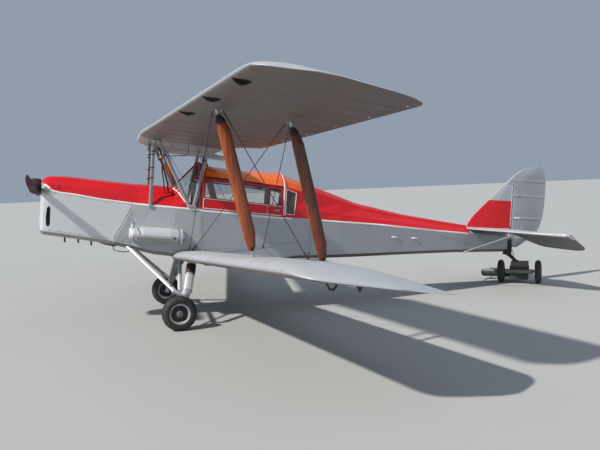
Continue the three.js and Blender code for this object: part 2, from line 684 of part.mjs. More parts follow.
// Undercarriage: on each side a front strut, a faired leg and an axle stay, joined at the hub
function gearSide() {
  const front = blade(v(618, 235, 734), v(54, 848, 246), [[0, 58, 34], [1, 58, 34]]);
  const leg = blade(v(-176, 498, 590), v(-94, 849, 240), [[0, 110, 56], [0.3, 112, 60], [1, 106, 54]]);
  const shin = blade(v(-94, 849, 262), v(-8, 849, -18), [[0, 106, 54], [0.55, 78, 50], [1, 60, 46]]);
  const knee = blade(v(86, 848, 250), v(-70, 849, 176), [[0, 58, 34], [1, 58, 40]], v(0, 0, 1));
  const stay = blade(v(-60, 120, 640), v(-10, 850, 40), [[0, 52, 30], [1, 52, 30]]);
  return join(front, leg, shin, knee, stay, stubOnly);
}
const stubOnly = rod(v(0, stubInner - 20, 0), v(0, wheelY + wheelWidth / 2 - 6, 0), axleRadius, 12);
const wheelSweep = rod(v(0, wheelY - wheelWidth / 2 - clear, 0), v(0, wheelY + 200, 0), wheelRadius + 12, 28);
const wingFloor = wingLoft({ ...lower, z: lower.z - gap }, lowerRibs);
const tankFloor = tankBlank.translate([0, 0, -gap]);
const gear = join(cut(gearSide(), wheelSweep, bodyLoft(bodyTable, -gap), wingFloor, tankFloor), stubOnly);
pair('gear', main(gear), paint.silver);

// Main wheels: fat tyre and dished disc as one turned solid with an open bore
const bore = axleRadius + 1;
const w = wheelWidth / 2;
const wheelProfile = [
  [bore, -w * 0.72], [hubRadius * 0.7, -w * 0.72], [hubRadius, -w * 0.5], [118, -w * 0.42],
  [128, -w * 0.72], [148, -w * 0.96], [176, -w], [197, -w * 0.72], [wheelRadius, -w * 0.3],
  [wheelRadius, w * 0.3], [197, w * 0.72], [176, w], [148, w * 0.96], [128, w * 0.72],
  [118, w * 0.42], [hubRadius, w * 0.5], [hubRadius * 0.7, w * 0.72], [bore, w * 0.72],
  [bore, -w * 0.72],
];
pair('main_wheel', turned(wheelProfile, v(0, wheelY, 0)), paint.tyre);

// Tail surfaces, flat plates with rounded edges
function plate(outline, z0, z1) {
  const shape = new THREE.Shape(outline.map(([x, y]) => new THREE.Vector2(x, y)));
  const geometry = new THREE.ExtrudeGeometry(shape, { depth: z1 - z0, bevelEnabled: false, steps: 1 });
  geometry.translate(0, 0, z0);
  return toSolid(geometry);
}
const tailHalfOutline = [[-4335, 0], [-4345, 150], [-4520, 560], [-4700, 950], [-4860, 1240], [-4950, 1370],
  [tailHingeX, 1440]];
const tailOutline = [...tailHalfOutline, ...tailHalfOutline.map(([x, y]) => [x, -y]).reverse().slice(0, -1)];
const tailNose = 24;
const tailPlate = plate(tailOutline, tailLow, tailLow + tailThick);
const tailNoseCut = rod(v(tailHingeX, -2000, tailZ), v(tailHingeX, 2000, tailZ), tailNose + clear, 48);
const tailBack = box(-6000, tailHingeX, -2000, 2000, 0, 2000);
piece('tailplane', cut(tailPlate, tailNoseCut, tailBack), paint.silver);

const elevatorHalf = [[tailHingeX, 190], [tailHingeX, 1462], [-5130, tailHalf], [-5250, 1476], [-5360, 1420],
  [-5440, 1310], [-5480, 1120], [-5486, 620], [-5470, 420], [-5380, 290], [-5200, 190]];
const elevatorPlate = (sign) => plate(elevatorHalf.map(([x, y]) => [x, sign * y]),
  tailZ - 17, tailZ + 17);
const elevatorNose = rod(v(tailHingeX, -1455, tailZ), v(tailHingeX, 1455, tailZ), tailNose, 16);
const elevatorCollars = [-1150, -330, 330, 1150].map((y) => rod(
  v(tailHingeX, y - 16, tailZ), v(tailHingeX, y + 16, tailZ), tailNose + clear - collar, 48));
const elevators = join(elevatorPlate(1), elevatorPlate(-1), elevatorNose, ...elevatorCollars);
piece('elevators', turnAbout(elevators, v(tailHingeX, 0, tailZ), v(tailHingeX, 1, tailZ), -elevatorDroop),
  paint.silver);

// Fin on the tailplane's centre, and the rudder with its horn above the fin
const finBase = tailZ + tailThick / 2 + gap;
const finOutline = [[-4352, finBase], [-4420, 1262], [-4726, 1574], [-4955, finTopZ],
  [rudderHingeX, finTopZ], [rudderHingeX, finBase]];
const finNoseCut = rod(v(rudderHingeX, 0, 0), v(rudderHingeX, 0, 3000), finThick / 2 + clear, 48);
piece('fin', cut(sideProfile(finOutline, -finThick / 2, finThick / 2), finNoseCut), paint.red);

const rudderOutline = [[rudderHingeX, rudderFootZ], [-5272, rudderFootZ], [-5318, 892], [-5405, 945],
  [-5476, 990], [-5563, 1056], [-5644, 1146], [-5706, 1323],
  [-5732, 1560], [-5734, 1800], [-5720, 1980], [-5688, 2100], [-5600, 2142], [-5430, 2124], [-5207, 2028],
  [-5080, 1920], [-4986, finTopZ + hornGap], [rudderHingeX, finTopZ + hornGap]];
const rudderPlate = sideProfile(rudderOutline, -17, 17);
const rudderNose = rod(v(rudderHingeX, 0, rudderFootZ), v(rudderHingeX, 0, 1990), finThick / 2, 16);
const rudderCollars = [1310, 1660].map((z) => rod(
  v(rudderHingeX, 0, z - 16), v(rudderHingeX, 0, z + 16), finThick / 2 + clear - collar, 48));
piece('rudder', join(rudderPlate, rudderNose, ...rudderCollars), paint.silver);

// Stays under the tailplane
const stayFoot = v(-4236, 178, 770);
const stayHead = v(-4700, 760, tailLow - 2);
pair('tailplane_strut', main(cut(blade(stayFoot, stayHead, [[0, 34, 18], [1, 34, 18]]),
  plate(tailOutline, tailLow - gap, tailLow + 40), bodyLoft(rearTable, -gap))), paint.steel);

// Tail skid post and shoe, behind the sternpost and ahead of the rudder
const skidOutline = [[-5080 - gap, 968], [-5114, 968], [-5114, rudderFootZ - 16], [-5166, rudderFootZ - 26],
  [-5168, 752], [-5120, 726], [-5080 - gap, 742]];
const skidPost = join(
  sideProfile(skidOutline, -22, 22),
  blade(v(-5112, 0, 766), v(-5256, 0, 664), [[0, 62, 40], [1, 52, 46]]),
  blade(v(-5236, 0, 652), v(-5304, 0, 650), [[0, 30, 60], [1, 30, 60]], v(0, 0, 1)),
);
piece('tail_skid', skidPost, paint.black);

// Dolly, drawn across its own axle and then turned and placed on the ground
const cart = new THREE.Group();
cart.position.set(dolly.x, dolly.y, 0);
cart.rotation.z = dolly.turn;
ground.add(cart);
const towY = -264;
const towZ = 112;
const towBar = turned([[0, -340], [44, -332], [62, -300], [62, 300], [44, 332], [0, 340]],
  v(290, towY, towZ), v(1, 0, 0), 16);
const dollyFrame = join(
  box(-dolly.half + 70, dolly.half - 70, -62, 62, 150, 206),
  box(-140, 140, -56, 56, 206, 270),
  box(-132, 120, -80, 80, 262, dolly.top),
  box(-130, 136, -50, 120, 62, 142),
  box(-60, 60, -100, 60, 130, 180),
  box(-20, 90, towY, -60, 110, 166),
  rod(v(-dolly.half - 52, 0, dolly.radius), v(dolly.half + 52, 0, dolly.radius), 14, 12),
  towBar,
);
piece('dolly_frame', dollyFrame, paint.dollyGreen, cart);
const dw = dolly.width / 2;
const dollyProfile = [[15, -dw * 0.8], [52, -dw * 0.8], [92, -dw * 0.5], [104, -dw * 0.86], [140, -dw],
  [168, -dw * 0.66], [dolly.radius, -dw * 0.25], [dolly.radius, dw * 0.25], [168, dw * 0.66], [140, dw],
  [104, dw * 0.86], [92, dw * 0.5], [52, dw * 0.8], [15, dw * 0.8], [15, -dw * 0.8]];
piece('dolly_wheel_left', turned(dollyProfile, v(-dolly.half, 0, dolly.radius), v(1, 0, 0), 24), paint.tyre, cart);
piece('dolly_wheel_right', turned(dollyProfile, v(dolly.half, 0, dolly.radius), v(1, 0, 0), 24), paint.tyre, cart);

const biplane = new THREE.Group();
biplane.add(stand, ground);

export default biplane;
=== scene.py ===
import json
import math

import bmesh
import bpy
from mathutils import Matrix, Vector
from mathutils.bvhtree import BVHTree


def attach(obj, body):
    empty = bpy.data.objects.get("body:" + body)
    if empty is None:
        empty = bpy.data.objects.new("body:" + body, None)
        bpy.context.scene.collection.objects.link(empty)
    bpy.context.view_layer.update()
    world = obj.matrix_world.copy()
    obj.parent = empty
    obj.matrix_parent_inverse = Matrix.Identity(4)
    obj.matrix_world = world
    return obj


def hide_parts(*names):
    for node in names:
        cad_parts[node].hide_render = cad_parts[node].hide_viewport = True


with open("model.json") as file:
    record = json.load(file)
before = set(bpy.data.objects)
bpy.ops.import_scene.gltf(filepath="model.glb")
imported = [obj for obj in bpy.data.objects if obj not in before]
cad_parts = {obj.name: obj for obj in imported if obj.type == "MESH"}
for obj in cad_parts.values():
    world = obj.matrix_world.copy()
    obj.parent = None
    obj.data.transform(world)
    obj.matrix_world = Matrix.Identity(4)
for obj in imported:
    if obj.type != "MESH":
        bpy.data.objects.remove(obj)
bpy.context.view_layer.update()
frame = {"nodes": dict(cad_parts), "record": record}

nodes = frame["nodes"]
SIDES = ((1, "port"), (-1, "starboard"))

# Stance: the airframe is drawn level in metres, X forward, Y to port, Z up, and stands nose up
ATTITUDE = math.radians(5.4)
MIDDLE_SHIFT = 2.10075
WHEEL_RADIUS = 0.206
PITCH = Matrix.Rotation(-ATTITUDE, 4, "Y")
STAND = Matrix.Translation((MIDDLE_SHIFT, 0, WHEEL_RADIUS)) @ PITCH

# Wings, as in the part's source
CHORD = 1.333
ROOT_Y = 0.5
UPPER = dict(x=0.521, z=2.123, sweep=math.radians(7.8), dihedral=math.radians(2.41),
             incidence=math.radians(6.2))
LOWER = dict(x=0.065, z=0.628, sweep=math.radians(6.65), dihedral=math.radians(4.0),
             incidence=math.radians(6.1))
CENTRE_HALF = 0.47
RIB_PITCH = 0.295
FABRIC_SAG = 0.0055
TAPE_LIFT = 0.0009
TAPE_HALF = 0.013
TIP_START = 4.18
AILERON_INNER = 2.15
AILERON_OUTER = 4.08
AILERON_HINGE = 0.8
AILERON_NOSE = 0.036
CLEAR = 0.006

# Tail, as in the part's source
TAIL_Z = 1.118
TAIL_THICK = 0.058
TAIL_HINGE_X = -5.03
RUDDER_HINGE_X = -5.158
ELEVATOR_DROOP = math.radians(27)
FIN_TOP_Z = 1.806
FIN_THICK = 0.044

# Camera, solved from the photograph in the airframe's own frame
CAMERA_AT = (0.833, 8.421, 1.386)
CAMERA_YAW = math.radians(16.851)
CAMERA_PITCH = math.radians(2.067)
CAMERA_ROLL = math.radians(2.995)
CAMERA_LENS = 37.707

# The light comes from ahead, a little to port, as the shadows in the photograph show
SUN_FROM = (9.5, 2.6, 9.2)


# Small helpers
def at(x, y, z):
    """A point of the airframe as a point of the shared frame."""
    return STAND @ Vector((x, y, z))


def link(name, data):
    obj = bpy.data.objects.new(name, data)
    bpy.context.scene.collection.objects.link(obj)
    return obj


def turns(count):
    """Equal turns round a circle."""
    return [2 * math.pi * k / count for k in range(count)]


def both_sides(make):
    """Calls make for port and starboard with the side's sign and name."""
    for side, word in SIDES:
        make(side, word)


def step(value, low, high):
    """A smooth rise from 0 at low to 1 at high."""
    t = max(0.0, min(1.0, (value - low) / (high - low)))
    return t * t * (3 - 2 * t)


def curve_value(rows, s):
    """A smooth value through (place, value) rows, without overshoot."""
    if s <= rows[0][0]:
        return rows[0][1]
    if s >= rows[-1][0]:
        return rows[-1][1]
    k = next(i for i in range(1, len(rows)) if s <= rows[i][0])
    rises = [(b[1] - a[1]) / (b[0] - a[0]) for a, b in zip(rows, rows[1:])]
    slopes = []
    for i in (k - 1, k):
        if i in (0, len(rows) - 1):
            slopes.append(rises[max(i - 1, 0)])
            continue
        before, after = rises[i - 1], rises[i]
        slopes.append(0.0 if before * after <= 0 else 2 * before * after / (before + after))
    (x0, y0), (x1, y1) = rows[k - 1], rows[k]
    h = x1 - x0
    t = (s - x0) / h
    return ((2 * t ** 3 - 3 * t ** 2 + 1) * y0 + (t ** 3 - 2 * t ** 2 + t) * h * slopes[0]
            + (3 * t ** 2 - 2 * t ** 3) * y1 + (t ** 3 - t ** 2) * h * slopes[1])


# Camera
def make_camera():
    c, s = math.cos, math.sin
    forward = Vector((-s(CAMERA_YAW) * c(CAMERA_PITCH), -c(CAMERA_YAW) * c(CAMERA_PITCH),
                      -s(CAMERA_PITCH)))
    level = Vector((-c(CAMERA_YAW), s(CAMERA_YAW), 0))
    above = level.cross(forward)
    right = level * c(CAMERA_ROLL) + above * s(CAMERA_ROLL)
    up = above * c(CAMERA_ROLL) - level * s(CAMERA_ROLL)
    turn = Matrix((right, up, -forward)).transposed().to_4x4()
    data = bpy.data.cameras.new("camera")
    data.lens = CAMERA_LENS
    data.sensor_width = 36
    data.clip_end = 400
    camera = link("camera", data)
    camera.matrix_world = STAND @ Matrix.Translation(CAMERA_AT) @ turn
    bpy.context.scene.camera = camera


make_camera()


# Node tree helpers for the materials
class Paint:
    """A procedural material: one principled shader with what feeds it."""

    def __init__(self, name, color, roughness=0.5, metallic=0.0, **sockets):
        self.material = bpy.data.materials.new(name)
        self.material.use_nodes = True
        self.tree = self.material.node_tree
        self.sockets = self.tree.nodes["Principled BSDF"].inputs
        sockets.update(Base_Color=(*color, 1), Roughness=roughness, Metallic=metallic)
        for key, value in sockets.items():
            self.sockets[key.replace("_", " ")].default_value = value
        self.color = color
        self.place = self.node("ShaderNodeTexCoord").outputs["Object"]
        self.height = None

    def node(self, kind, inputs=None, **settings):
        made = self.tree.nodes.new(kind)
        for key, value in settings.items():
            setattr(made, key, value)
        for key, value in (inputs or {}).items():
            self.feed(made.inputs[key], value)
        return made

    def feed(self, socket, value):
        if isinstance(value, bpy.types.NodeSocket):
            self.tree.links.new(value, socket)
        else:
            socket.default_value = value

    def noise(self, scale, detail=4, stretch=(1, 1, 1)):
        where = self.node("ShaderNodeMapping", {"Vector": self.place, "Scale": stretch})
        made = self.node("ShaderNodeTexNoise", {"Vector": where.outputs[0], "Scale": scale,
                                                "Detail": detail, "Roughness": 0.55})
        return made.outputs["Fac"]

    def ramp(self, value, low, high, out_low=0.0, out_high=1.0):
        made = self.node("ShaderNodeMapRange", {"Value": value, "From Min": low, "From Max": high,
                                                "To Min": out_low, "To Max": out_high})
        return made.outputs["Result"]

    def product(self, a, b):
        made = self.node("ShaderNodeMath", {0: a, 1: b}, operation="MULTIPLY")
        return made.outputs[0]

    def airframe_axes(self):
        """Forward, port and up distances along the airframe's own axes."""
        back = self.node("ShaderNodeMapping", {
            "Vector": self.place, "Location": (MIDDLE_SHIFT, 0, WHEEL_RADIUS),
            "Rotation": (0, -ATTITUDE, 0)}, vector_type="TEXTURE")
        return self.node("ShaderNodeSeparateXYZ", {0: back.outputs[0]}).outputs

    def tint(self, share, tone):
        """Lays another tone over the colour so far."""
        socket = self.sockets["Base Color"]
        before = socket.links[0].from_socket if socket.is_linked else (*self.color, 1)
        made = self.node("ShaderNodeMix", {"Factor": share, 6: before, 7: (*tone, 1)},
                         data_type="RGBA")
        self.feed(socket, made.outputs[2])

    def mottle(self, scale, tone, amount=1.0, stretch=(1, 1, 1)):
        """Slow changes of tone over the surface."""
        self.tint(self.ramp(self.noise(scale, 5, stretch), 0.38, 0.68, 0.0, amount), tone)

    def shade(self, axis, start, end, tone, amount):
        """Painted light and shade: another tone where the surface faces one way, from start to end along the
        axis.
        """
        facing = self.node("ShaderNodeTexCoord").outputs["Normal"]
        way = self.node("ShaderNodeSeparateXYZ", {0: facing}).outputs[axis]
        self.tint(self.ramp(way, start, end, 0.0, amount), tone)

    def painted_underside_shade(self, tone, amount):
        """Painted shade: a darker tone where the surface faces down."""
        self.shade(2, 0.06, -0.42, tone, amount)

    def wear(self, scale, low, high, stretch=(1, 1, 1)):
        """Roughness that changes over the surface."""
        self.feed(self.sockets["Roughness"], self.ramp(self.noise(scale, 6, stretch), 0.3, 0.7, low, high))

    def bump(self, value, distance, strength=1.0):
        inputs = {"Height": value, "Distance": distance, "Strength": strength}
        if self.height is not None:
            inputs["Normal"] = self.height
        self.height = self.node("ShaderNodeBump", inputs).outputs[0]
        self.feed(self.sockets["Normal"], self.height)

    def weave(self, scale, distance):
        """Crossed threads of a woven cloth."""
        for turn in (0, math.pi / 2):
            where = self.node("ShaderNodeMapping", {"Vector": self.place, "Rotation": (0, turn, turn)})
            threads = self.node("ShaderNodeTexWave", {"Vector": where.outputs[0], "Scale": scale,
                                                      "Distortion": 0.4}, wave_type="BANDS")
            self.bump(threads.outputs["Fac"], distance, 0.5)


def darker(color, share):
    return tuple(c * share for c in color)


# Materials: the painted, varnished and bare surfaces, then the ones with a paint of their own
SILVER = (0.43, 0.455, 0.49)
SILVER_DIRT = (0.27, 0.28, 0.29)
RED = (0.7, 0.01, 0.018)
RED_DEEP = (0.42, 0.006, 0.012)
PLAIN_PAINTS = {  # colour, roughness, share of dirt, metallic, scale of the dirt
    "cast_engine": ((0.09, 0.09, 0.1), 0.6, 0.5, 0.4),
    "strut_steel": ((0.36, 0.375, 0.4), 0.55, 0.4, 0.15),
    "panel_black": ((0.02, 0.02, 0.022), 0.6),
    "skid_iron": ((0.02, 0.018, 0.02), 0.5, 0.4, 0.3),
    "white_line": ((0.86, 0.84, 0.82), 0.35, 0.1),
    "seam_dark": ((0.05, 0.05, 0.055), 0.6, 0.3),
    "seam_soft": ((0.27, 0.28, 0.3), 0.5, 0.3),
    "edge_pale": ((0.86, 0.66, 0.6), 0.35, 0.12),
    "fitting_dark": ((0.035, 0.032, 0.034), 0.6, 0.4, 0.1),
    "hub_dark": ((0.03, 0.03, 0.032), 0.7, 0.4),
    "hub_grey": ((0.15, 0.15, 0.155), 0.6, 0.4),
    "boss_iron": ((0.05, 0.03, 0.028), 0.75, 0.5),
    "leather_trim": ((0.05, 0.012, 0.014), 0.6, 0.4),
    "strut_binding": ((0.03, 0.012, 0.01), 0.5, 0.4),
    "bungee": ((0.045, 0.035, 0.045), 0.8, 0.5, 0.0, 30),
    "rudder_strap": ((0.7, 0.69, 0.66), 0.4, 0.2),
    "dolly_beam": ((0.36, 0.34, 0.33), 0.6, 0.6),
    "brown_iron": ((0.07, 0.045, 0.035), 0.6, 0.5, 0.3),
    "dial_face": ((0.012, 0.012, 0.014), 0.3, 0.2),
    "cabin_lining": ((0.16, 0.15, 0.14), 0.8, 0.4),
}
BARE_METALS = {  # colour, roughness
    "firewall_steel": ((0.4, 0.4, 0.41), 0.4),
    "stay_steel": ((0.17, 0.045, 0.045), 0.4),
    "exhaust_steel": ((0.13, 0.1, 0.08), 0.5),
    "brass": ((0.62, 0.47, 0.22), 0.3),
    "sheath_metal": ((0.15, 0.11, 0.09), 0.55),
    "steel_bright": ((0.55, 0.56, 0.58), 0.32),
    "wire_dark": ((0.1, 0.075, 0.08), 0.4),
}
WOODS = {  # light tone, dark tone, stretch of the grain, coat
    "propeller_wood": ((0.085, 0.02, 0.018), (0.022, 0.008, 0.008), (3, 0.25, 3), 0.06),
    "strut_wood": ((0.56, 0.125, 0.018), (0.17, 0.024, 0.008), (4, 4, 0.1), 0.35),
    # A darker copy of the strut wood: painted shade for the rear struts.
    "rear_strut_wood": ((0.3, 0.05, 0.01), (0.07, 0.012, 0.006), (4, 4, 0.1), 0.35),
}
RED_PAINTS = {"red_fabric": (0.34,), "red_plywood": (0.3,), "red_metal": (0.24,), "rail_crimson": (0.3,)}


def plain_paint(name, color, roughness=0.5, dirt=0.35, metallic=0.0, scale=12, **sockets):
    paint = Paint(name, color, roughness, metallic, **sockets)
    paint.mottle(scale, darker(color, 0.5), dirt)
    paint.wear(scale * 2, roughness * 0.75, min(1, roughness * 1.25))
    paint.bump(paint.noise(scale * 8, 3), 0.0006, 0.35)
    return paint


def bare_metal(name, color, roughness):
    paint = Paint(name, color, roughness, 0.85)
    paint.mottle(18, darker(color, 0.6), 0.5)
    paint.wear(30, roughness * 0.7, min(1, roughness * 1.4))
    paint.bump(paint.noise(160, 2), 0.0004, 0.3)
    return paint


def varnished_wood(name, light, dark, along, coat):
    """Straight grained wood under varnish, with painted shade on the sides that face back."""
    paint = Paint(name, light, 0.36, 0.0, Coat_Weight=coat, Coat_Roughness=0.22)
    paint.mottle(22, dark, 0.9, along)
    paint.mottle(3, darker(dark, 0.45), 0.55)
    # Painted shade: a darker tone where the wood faces back.
    paint.shade(0, 0.1, -0.4, darker(dark, 0.5), 0.75)
    paint.wear(16, 0.6 - 0.8 * coat, 0.75 - 0.8 * coat, along)
    paint.bump(paint.noise(70, 4, along), 0.0008, 0.4)
    return paint


def red_paint(name, roughness):
    paint = Paint(name, RED, roughness, 0.0, Coat_Weight=0.1, Coat_Roughness=0.25,
                  Specular_IOR_Level=0.32)
    paint.mottle(1.8, RED_DEEP, 0.3)
    paint.mottle(12, (0.74, 0.022, 0.03), 0.25)
    paint.wear(6, roughness * 0.8, roughness * 1.3)
    paint.bump(paint.noise(6, 3), 0.004, 0.2)
    return paint


def silver_fabric():
    paint = Paint("silver_fabric", SILVER, 0.42, 0.25)
    paint.mottle(1.6, SILVER_DIRT, 0.3)
    paint.mottle(14, (0.45, 0.46, 0.47), 0.25)
    # Painted shade: a dark brownish tone where the fabric faces down.
    paint.painted_underside_shade((0.125, 0.1, 0.085), 0.88)
    # Painted light: a paler tone where the fabric faces up.
    paint.shade(2, 0.5, 0.96, (0.7, 0.72, 0.75), 0.55)
    paint.wear(5, 0.36, 0.52)
    paint.weave(420, 0.00015)
    paint.bump(paint.noise(60, 3), 0.0006, 0.4)
    return paint


def silver_plywood():
    paint = Paint("silver_plywood", SILVER, 0.38, 0.22)
    paint.mottle(1.3, SILVER_DIRT, 0.28)
    paint.mottle(9, (0.48, 0.49, 0.51), 0.3, (0.3, 1, 1.6))
    # Painted shade: a darker tone where the plywood faces down.
    paint.painted_underside_shade((0.13, 0.115, 0.095), 0.8)
    paint.wear(4, 0.3, 0.46)
    paint.bump(paint.noise(7, 4, (0.5, 1, 1.5)), 0.004, 0.25)
    return paint


def silver_metal():
    """Silver, with painted shade where it faces down and a painted shadow of the propeller on the cowl's
    shoulder.
    """
    paint = Paint("silver_metal", (0.74, 0.755, 0.78), 0.36, 0.22)
    paint.mottle(2.2, (0.6, 0.61, 0.62), 0.25)
    # Painted shade: a darker tone where the metal faces down.
    paint.painted_underside_shade((0.19, 0.17, 0.155), 0.75)
    # Painted shadow of the propeller: dark grey on the cowl's upper front corner.
    ahead, _, up = paint.airframe_axes()
    paint.tint(paint.product(paint.ramp(ahead, 1.46, 1.56), paint.ramp(up, 1.3, 1.36)),
               (0.2, 0.21, 0.215))
    paint.wear(7, 0.3, 0.44, (1, 1, 0.4))
    paint.bump(paint.noise(5, 3), 0.004, 0.1)
    return paint


def tyre_rubber():
    paint = Paint("tyre_rubber", (0.022, 0.022, 0.024), 0.75)
    paint.mottle(9, (0.06, 0.056, 0.05), 0.6)
    paint.wear(25, 0.6, 0.9)
    paint.bump(paint.noise(180, 3), 0.0008, 0.4)
    return paint


def seat_leather():
    paint = Paint("seat_leather", (0.115, 0.022, 0.026), 0.5)
    paint.mottle(7, (0.05, 0.012, 0.014), 0.6)
    paint.wear(12, 0.4, 0.65)
    grain = paint.node("ShaderNodeTexVoronoi", {"Vector": paint.place, "Scale": 260.0})
    paint.bump(grain.outputs["Distance"], 0.0012, 0.5)
    return paint


def screen_clear():
    paint = Paint("screen_clear", (0.3, 0.38, 0.38), 0.05, 0.0, Alpha=0.13, IOR=1.49)
    paint.wear(6, 0.03, 0.1)
    return paint


def roof_tint():
    paint = Paint("roof_tint", (1.0, 0.165, 0.008), 0.22, 0.0, Alpha=0.96, IOR=1.49,
                  Transmission_Weight=0.12, Coat_Weight=0.4)
    paint.mottle(3.5, (1.0, 0.235, 0.018), 0.7, (0.5, 1, 1))
    paint.mottle(16, (0.98, 0.12, 0.008), 0.3)
    paint.wear(6, 0.16, 0.32)
    return paint


def decking_paint():
    """The rear decking's red, which stops where the tailplane begins."""
    paint = red_paint("decking_paint", 0.32)
    ahead, _, up = paint.airframe_axes()
    paint.tint(paint.product(paint.ramp(ahead, -4.352, -4.348, 1.0, 0.0),
                             paint.ramp(up, 1.112, 1.118, 1.0, 0.0)), SILVER)
    return paint


def trolley_paint():
    """The trolley's worn paints: dark green frame, pale beam, grey block on top."""
    paint = plain_paint("trolley_paint", (0.04, 0.05, 0.036), 0.65, 0.6, 0.1)
    up = paint.node("ShaderNodeSeparateXYZ", {0: paint.place}).outputs[2]
    paint.tint(paint.product(paint.ramp(up, 0.148, 0.151), paint.ramp(up, 0.205, 0.208, 1.0, 0.0)),
               (0.27, 0.255, 0.235))
    paint.tint(paint.ramp(up, 0.26, 0.264), (0.135, 0.11, 0.12))
    return paint


def fin_paint():
    """Red below, silver above, with a soft edge between them."""
    paint = red_paint("fin_paint", 0.34)
    paint.tint(paint.ramp(paint.airframe_axes()[2], 1.572, 1.578), SILVER)
    return paint


# Near-black paint for the painted shade patches under the upper wing's leading edge.
M = {"slot_painted_shade": plain_paint("slot_painted_shade", (0.004, 0.0035, 0.003), 0.85, 0.3, Specular_IOR_Level=0.12)}
for maker, rows in ((plain_paint, PLAIN_PAINTS), (bare_metal, BARE_METALS), (varnished_wood, WOODS),
                    (red_paint, RED_PAINTS)):
    M.update({name: maker(name, *row) for name, row in rows.items()})
for maker in (silver_fabric, silver_plywood, silver_metal, tyre_rubber, seat_leather, screen_clear,
              roof_tint, decking_paint, trolley_paint, fin_paint):
    M[maker.__name__] = maker()
OWN_PAINT = {"rear_decking": "decking_paint", "dolly_frame": "trolley_paint",
             # The rear struts take the darker copy of the strut wood, which is painted shade.
             "interplane_strut_rear_port": "rear_strut_wood",
             "interplane_strut_rear_starboard": "rear_strut_wood"}


# The CAD nodes' finishes and edges
def dress_nodes():
    """Gives every CAD node the finish of its slot, or its own."""
    slots = {row["node"]: row["material_slot"] for row in frame["record"]["subparts"]}
    for name, obj in nodes.items():
        obj.data.materials.clear()
        obj.data.materials.append(M[OWN_PAINT.get(name, slots[name])].material)


def smooth_edges(mesh, limit):
    work = bmesh.new()
    work.from_mesh(mesh)
    for face in work.faces:
        face.smooth = True
    for edge in work.edges:
        edge.smooth = len(edge.link_faces) == 2 and edge.calc_face_angle(3.0) < limit
    work.to_mesh(mesh)
    work.free()


def soften_node(name, limit, width):
    """Smooth shading and, where a width is given, rounded edges on a CAD node."""
    obj = nodes[name]
    smooth_edges(obj.data, math.radians(limit))
    if width:
        bevel = obj.modifiers.new("bevel", "BEVEL")
        bevel.width = width
        bevel.segments = 2
        bevel.limit_method = "ANGLE"
        bevel.angle_limit = math.radians(limit)
        bevel.harden_normals = True


# Mesh making
class Kit:
    """Collects simple closed forms in airframe metres and makes one piece of them."""

    def __init__(self, place=at):
        self.place = place
        self.verts = []
        self.faces = []

    def add(self, verts, faces):
        base = len(self.verts)
        self.verts += [self.place(*p) for p in verts]
        self.faces += [[base + i for i in face] for face in faces]
        return self

    def loft(self, rings, loop=False):
        """Skin over rings, with ends closed by a face each, or joined to each other as a loop."""
        count = len(rings[0])
        faces = []
        for i in range(len(rings) - (0 if loop else 1)):
            after = (i + 1) % len(rings) * count
            for j in range(count):
                k = (j + 1) % count
                faces.append([i * count + j, i * count + k, after + k, after + j])
        if not loop:
            faces.append(list(range(count))[::-1])
            faces.append([(len(rings) - 1) * count + j for j in range(count)])
        return self.add([tuple(p) for ring in rings for p in ring], faces)

    def tube(self, points, radius, sides=10, squash=1.0):
        """A round bar along a path, or an oval one where squash isn't 1."""
        points = [Vector(p) for p in points]
        rings = []
        side = None
        for i, p in enumerate(points):
            ahead = (points[min(i + 1, len(points) - 1)] - points[max(i - 1, 0)]).normalized()
            if side is None:
                side = ahead.cross(helper_axis(ahead)).normalized()
            side = (side - ahead * side.dot(ahead)).normalized()
            other = ahead.cross(side)
            r = radius[i] if isinstance(radius, (list, tuple)) else radius
            rings.append([p + side * math.cos(t) * r + other * math.sin(t) * r * squash
                          for t in turns(sides)])
        return self.loft(rings)

    def box(self, low, high, bevel=0.0):
        (x0, y0, z0), (x1, y1, z1) = low, high
        b = min(bevel, (x1 - x0) / 3, (y1 - y0) / 3, (z1 - z0) / 3)
        if not b:
            return self.loft([[(x0, y0, z), (x1, y0, z), (x1, y1, z), (x0, y1, z)] for z in (z0, z1)])
        rings = []
        for z, inset in ((z0, b), (z0 + b, 0), (z1 - b, 0), (z1, b)):
            corner = b + inset
            rings.append([(x0 + inset, y0 + corner, z), (x0 + corner, y0 + inset, z),
                          (x1 - corner, y0 + inset, z), (x1 - inset, y0 + corner, z),
                          (x1 - inset, y1 - corner, z), (x1 - corner, y1 - inset, z),
                          (x0 + corner, y1 - inset, z), (x0 + inset, y1 - corner, z)])
        return self.loft(rings)

    def turned(self, profile, centre, axis, sides=32, loop=False):
        """A profile of (radius, distance along the axis) turned about it."""
        axis = Vector(axis).normalized()
        side = axis.cross(helper_axis(axis)).normalized()
        other = axis.cross(side)
        return self.loft([[Vector(centre) + axis * h
                           + (side * math.cos(t) + other * math.sin(t)) * max(r, 1e-4)
                           for t in turns(sides)] for r, h in profile], loop)

    def piece(self, name, finish, body="airframe", limit=34, slot=None, node=None):
        """One object of the collected forms, which may stand for a CAD node."""
        mesh = bpy.data.meshes.new(name)
        mesh.from_pydata(self.verts, [], self.faces)
        work = bmesh.new()
        work.from_mesh(mesh)
        bmesh.ops.recalc_face_normals(work, faces=work.faces)
        work.to_mesh(mesh)
        work.free()
        smooth_edges(mesh, math.radians(limit))
        mesh.materials.append(M[finish].material)
        obj = link(name, mesh)
        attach(obj, body)
        if node:
            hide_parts(node)
        return obj


def helper_axis(way):
    return Vector((0, 0, 1)) if abs(way.z) < 0.9 else Vector((1, 0, 0))


def world_kit():
    return Kit(lambda x, y, z: Vector((x, y, z)))


def facing(profile, face):
    return [(r, face * h) for r, h in profile]


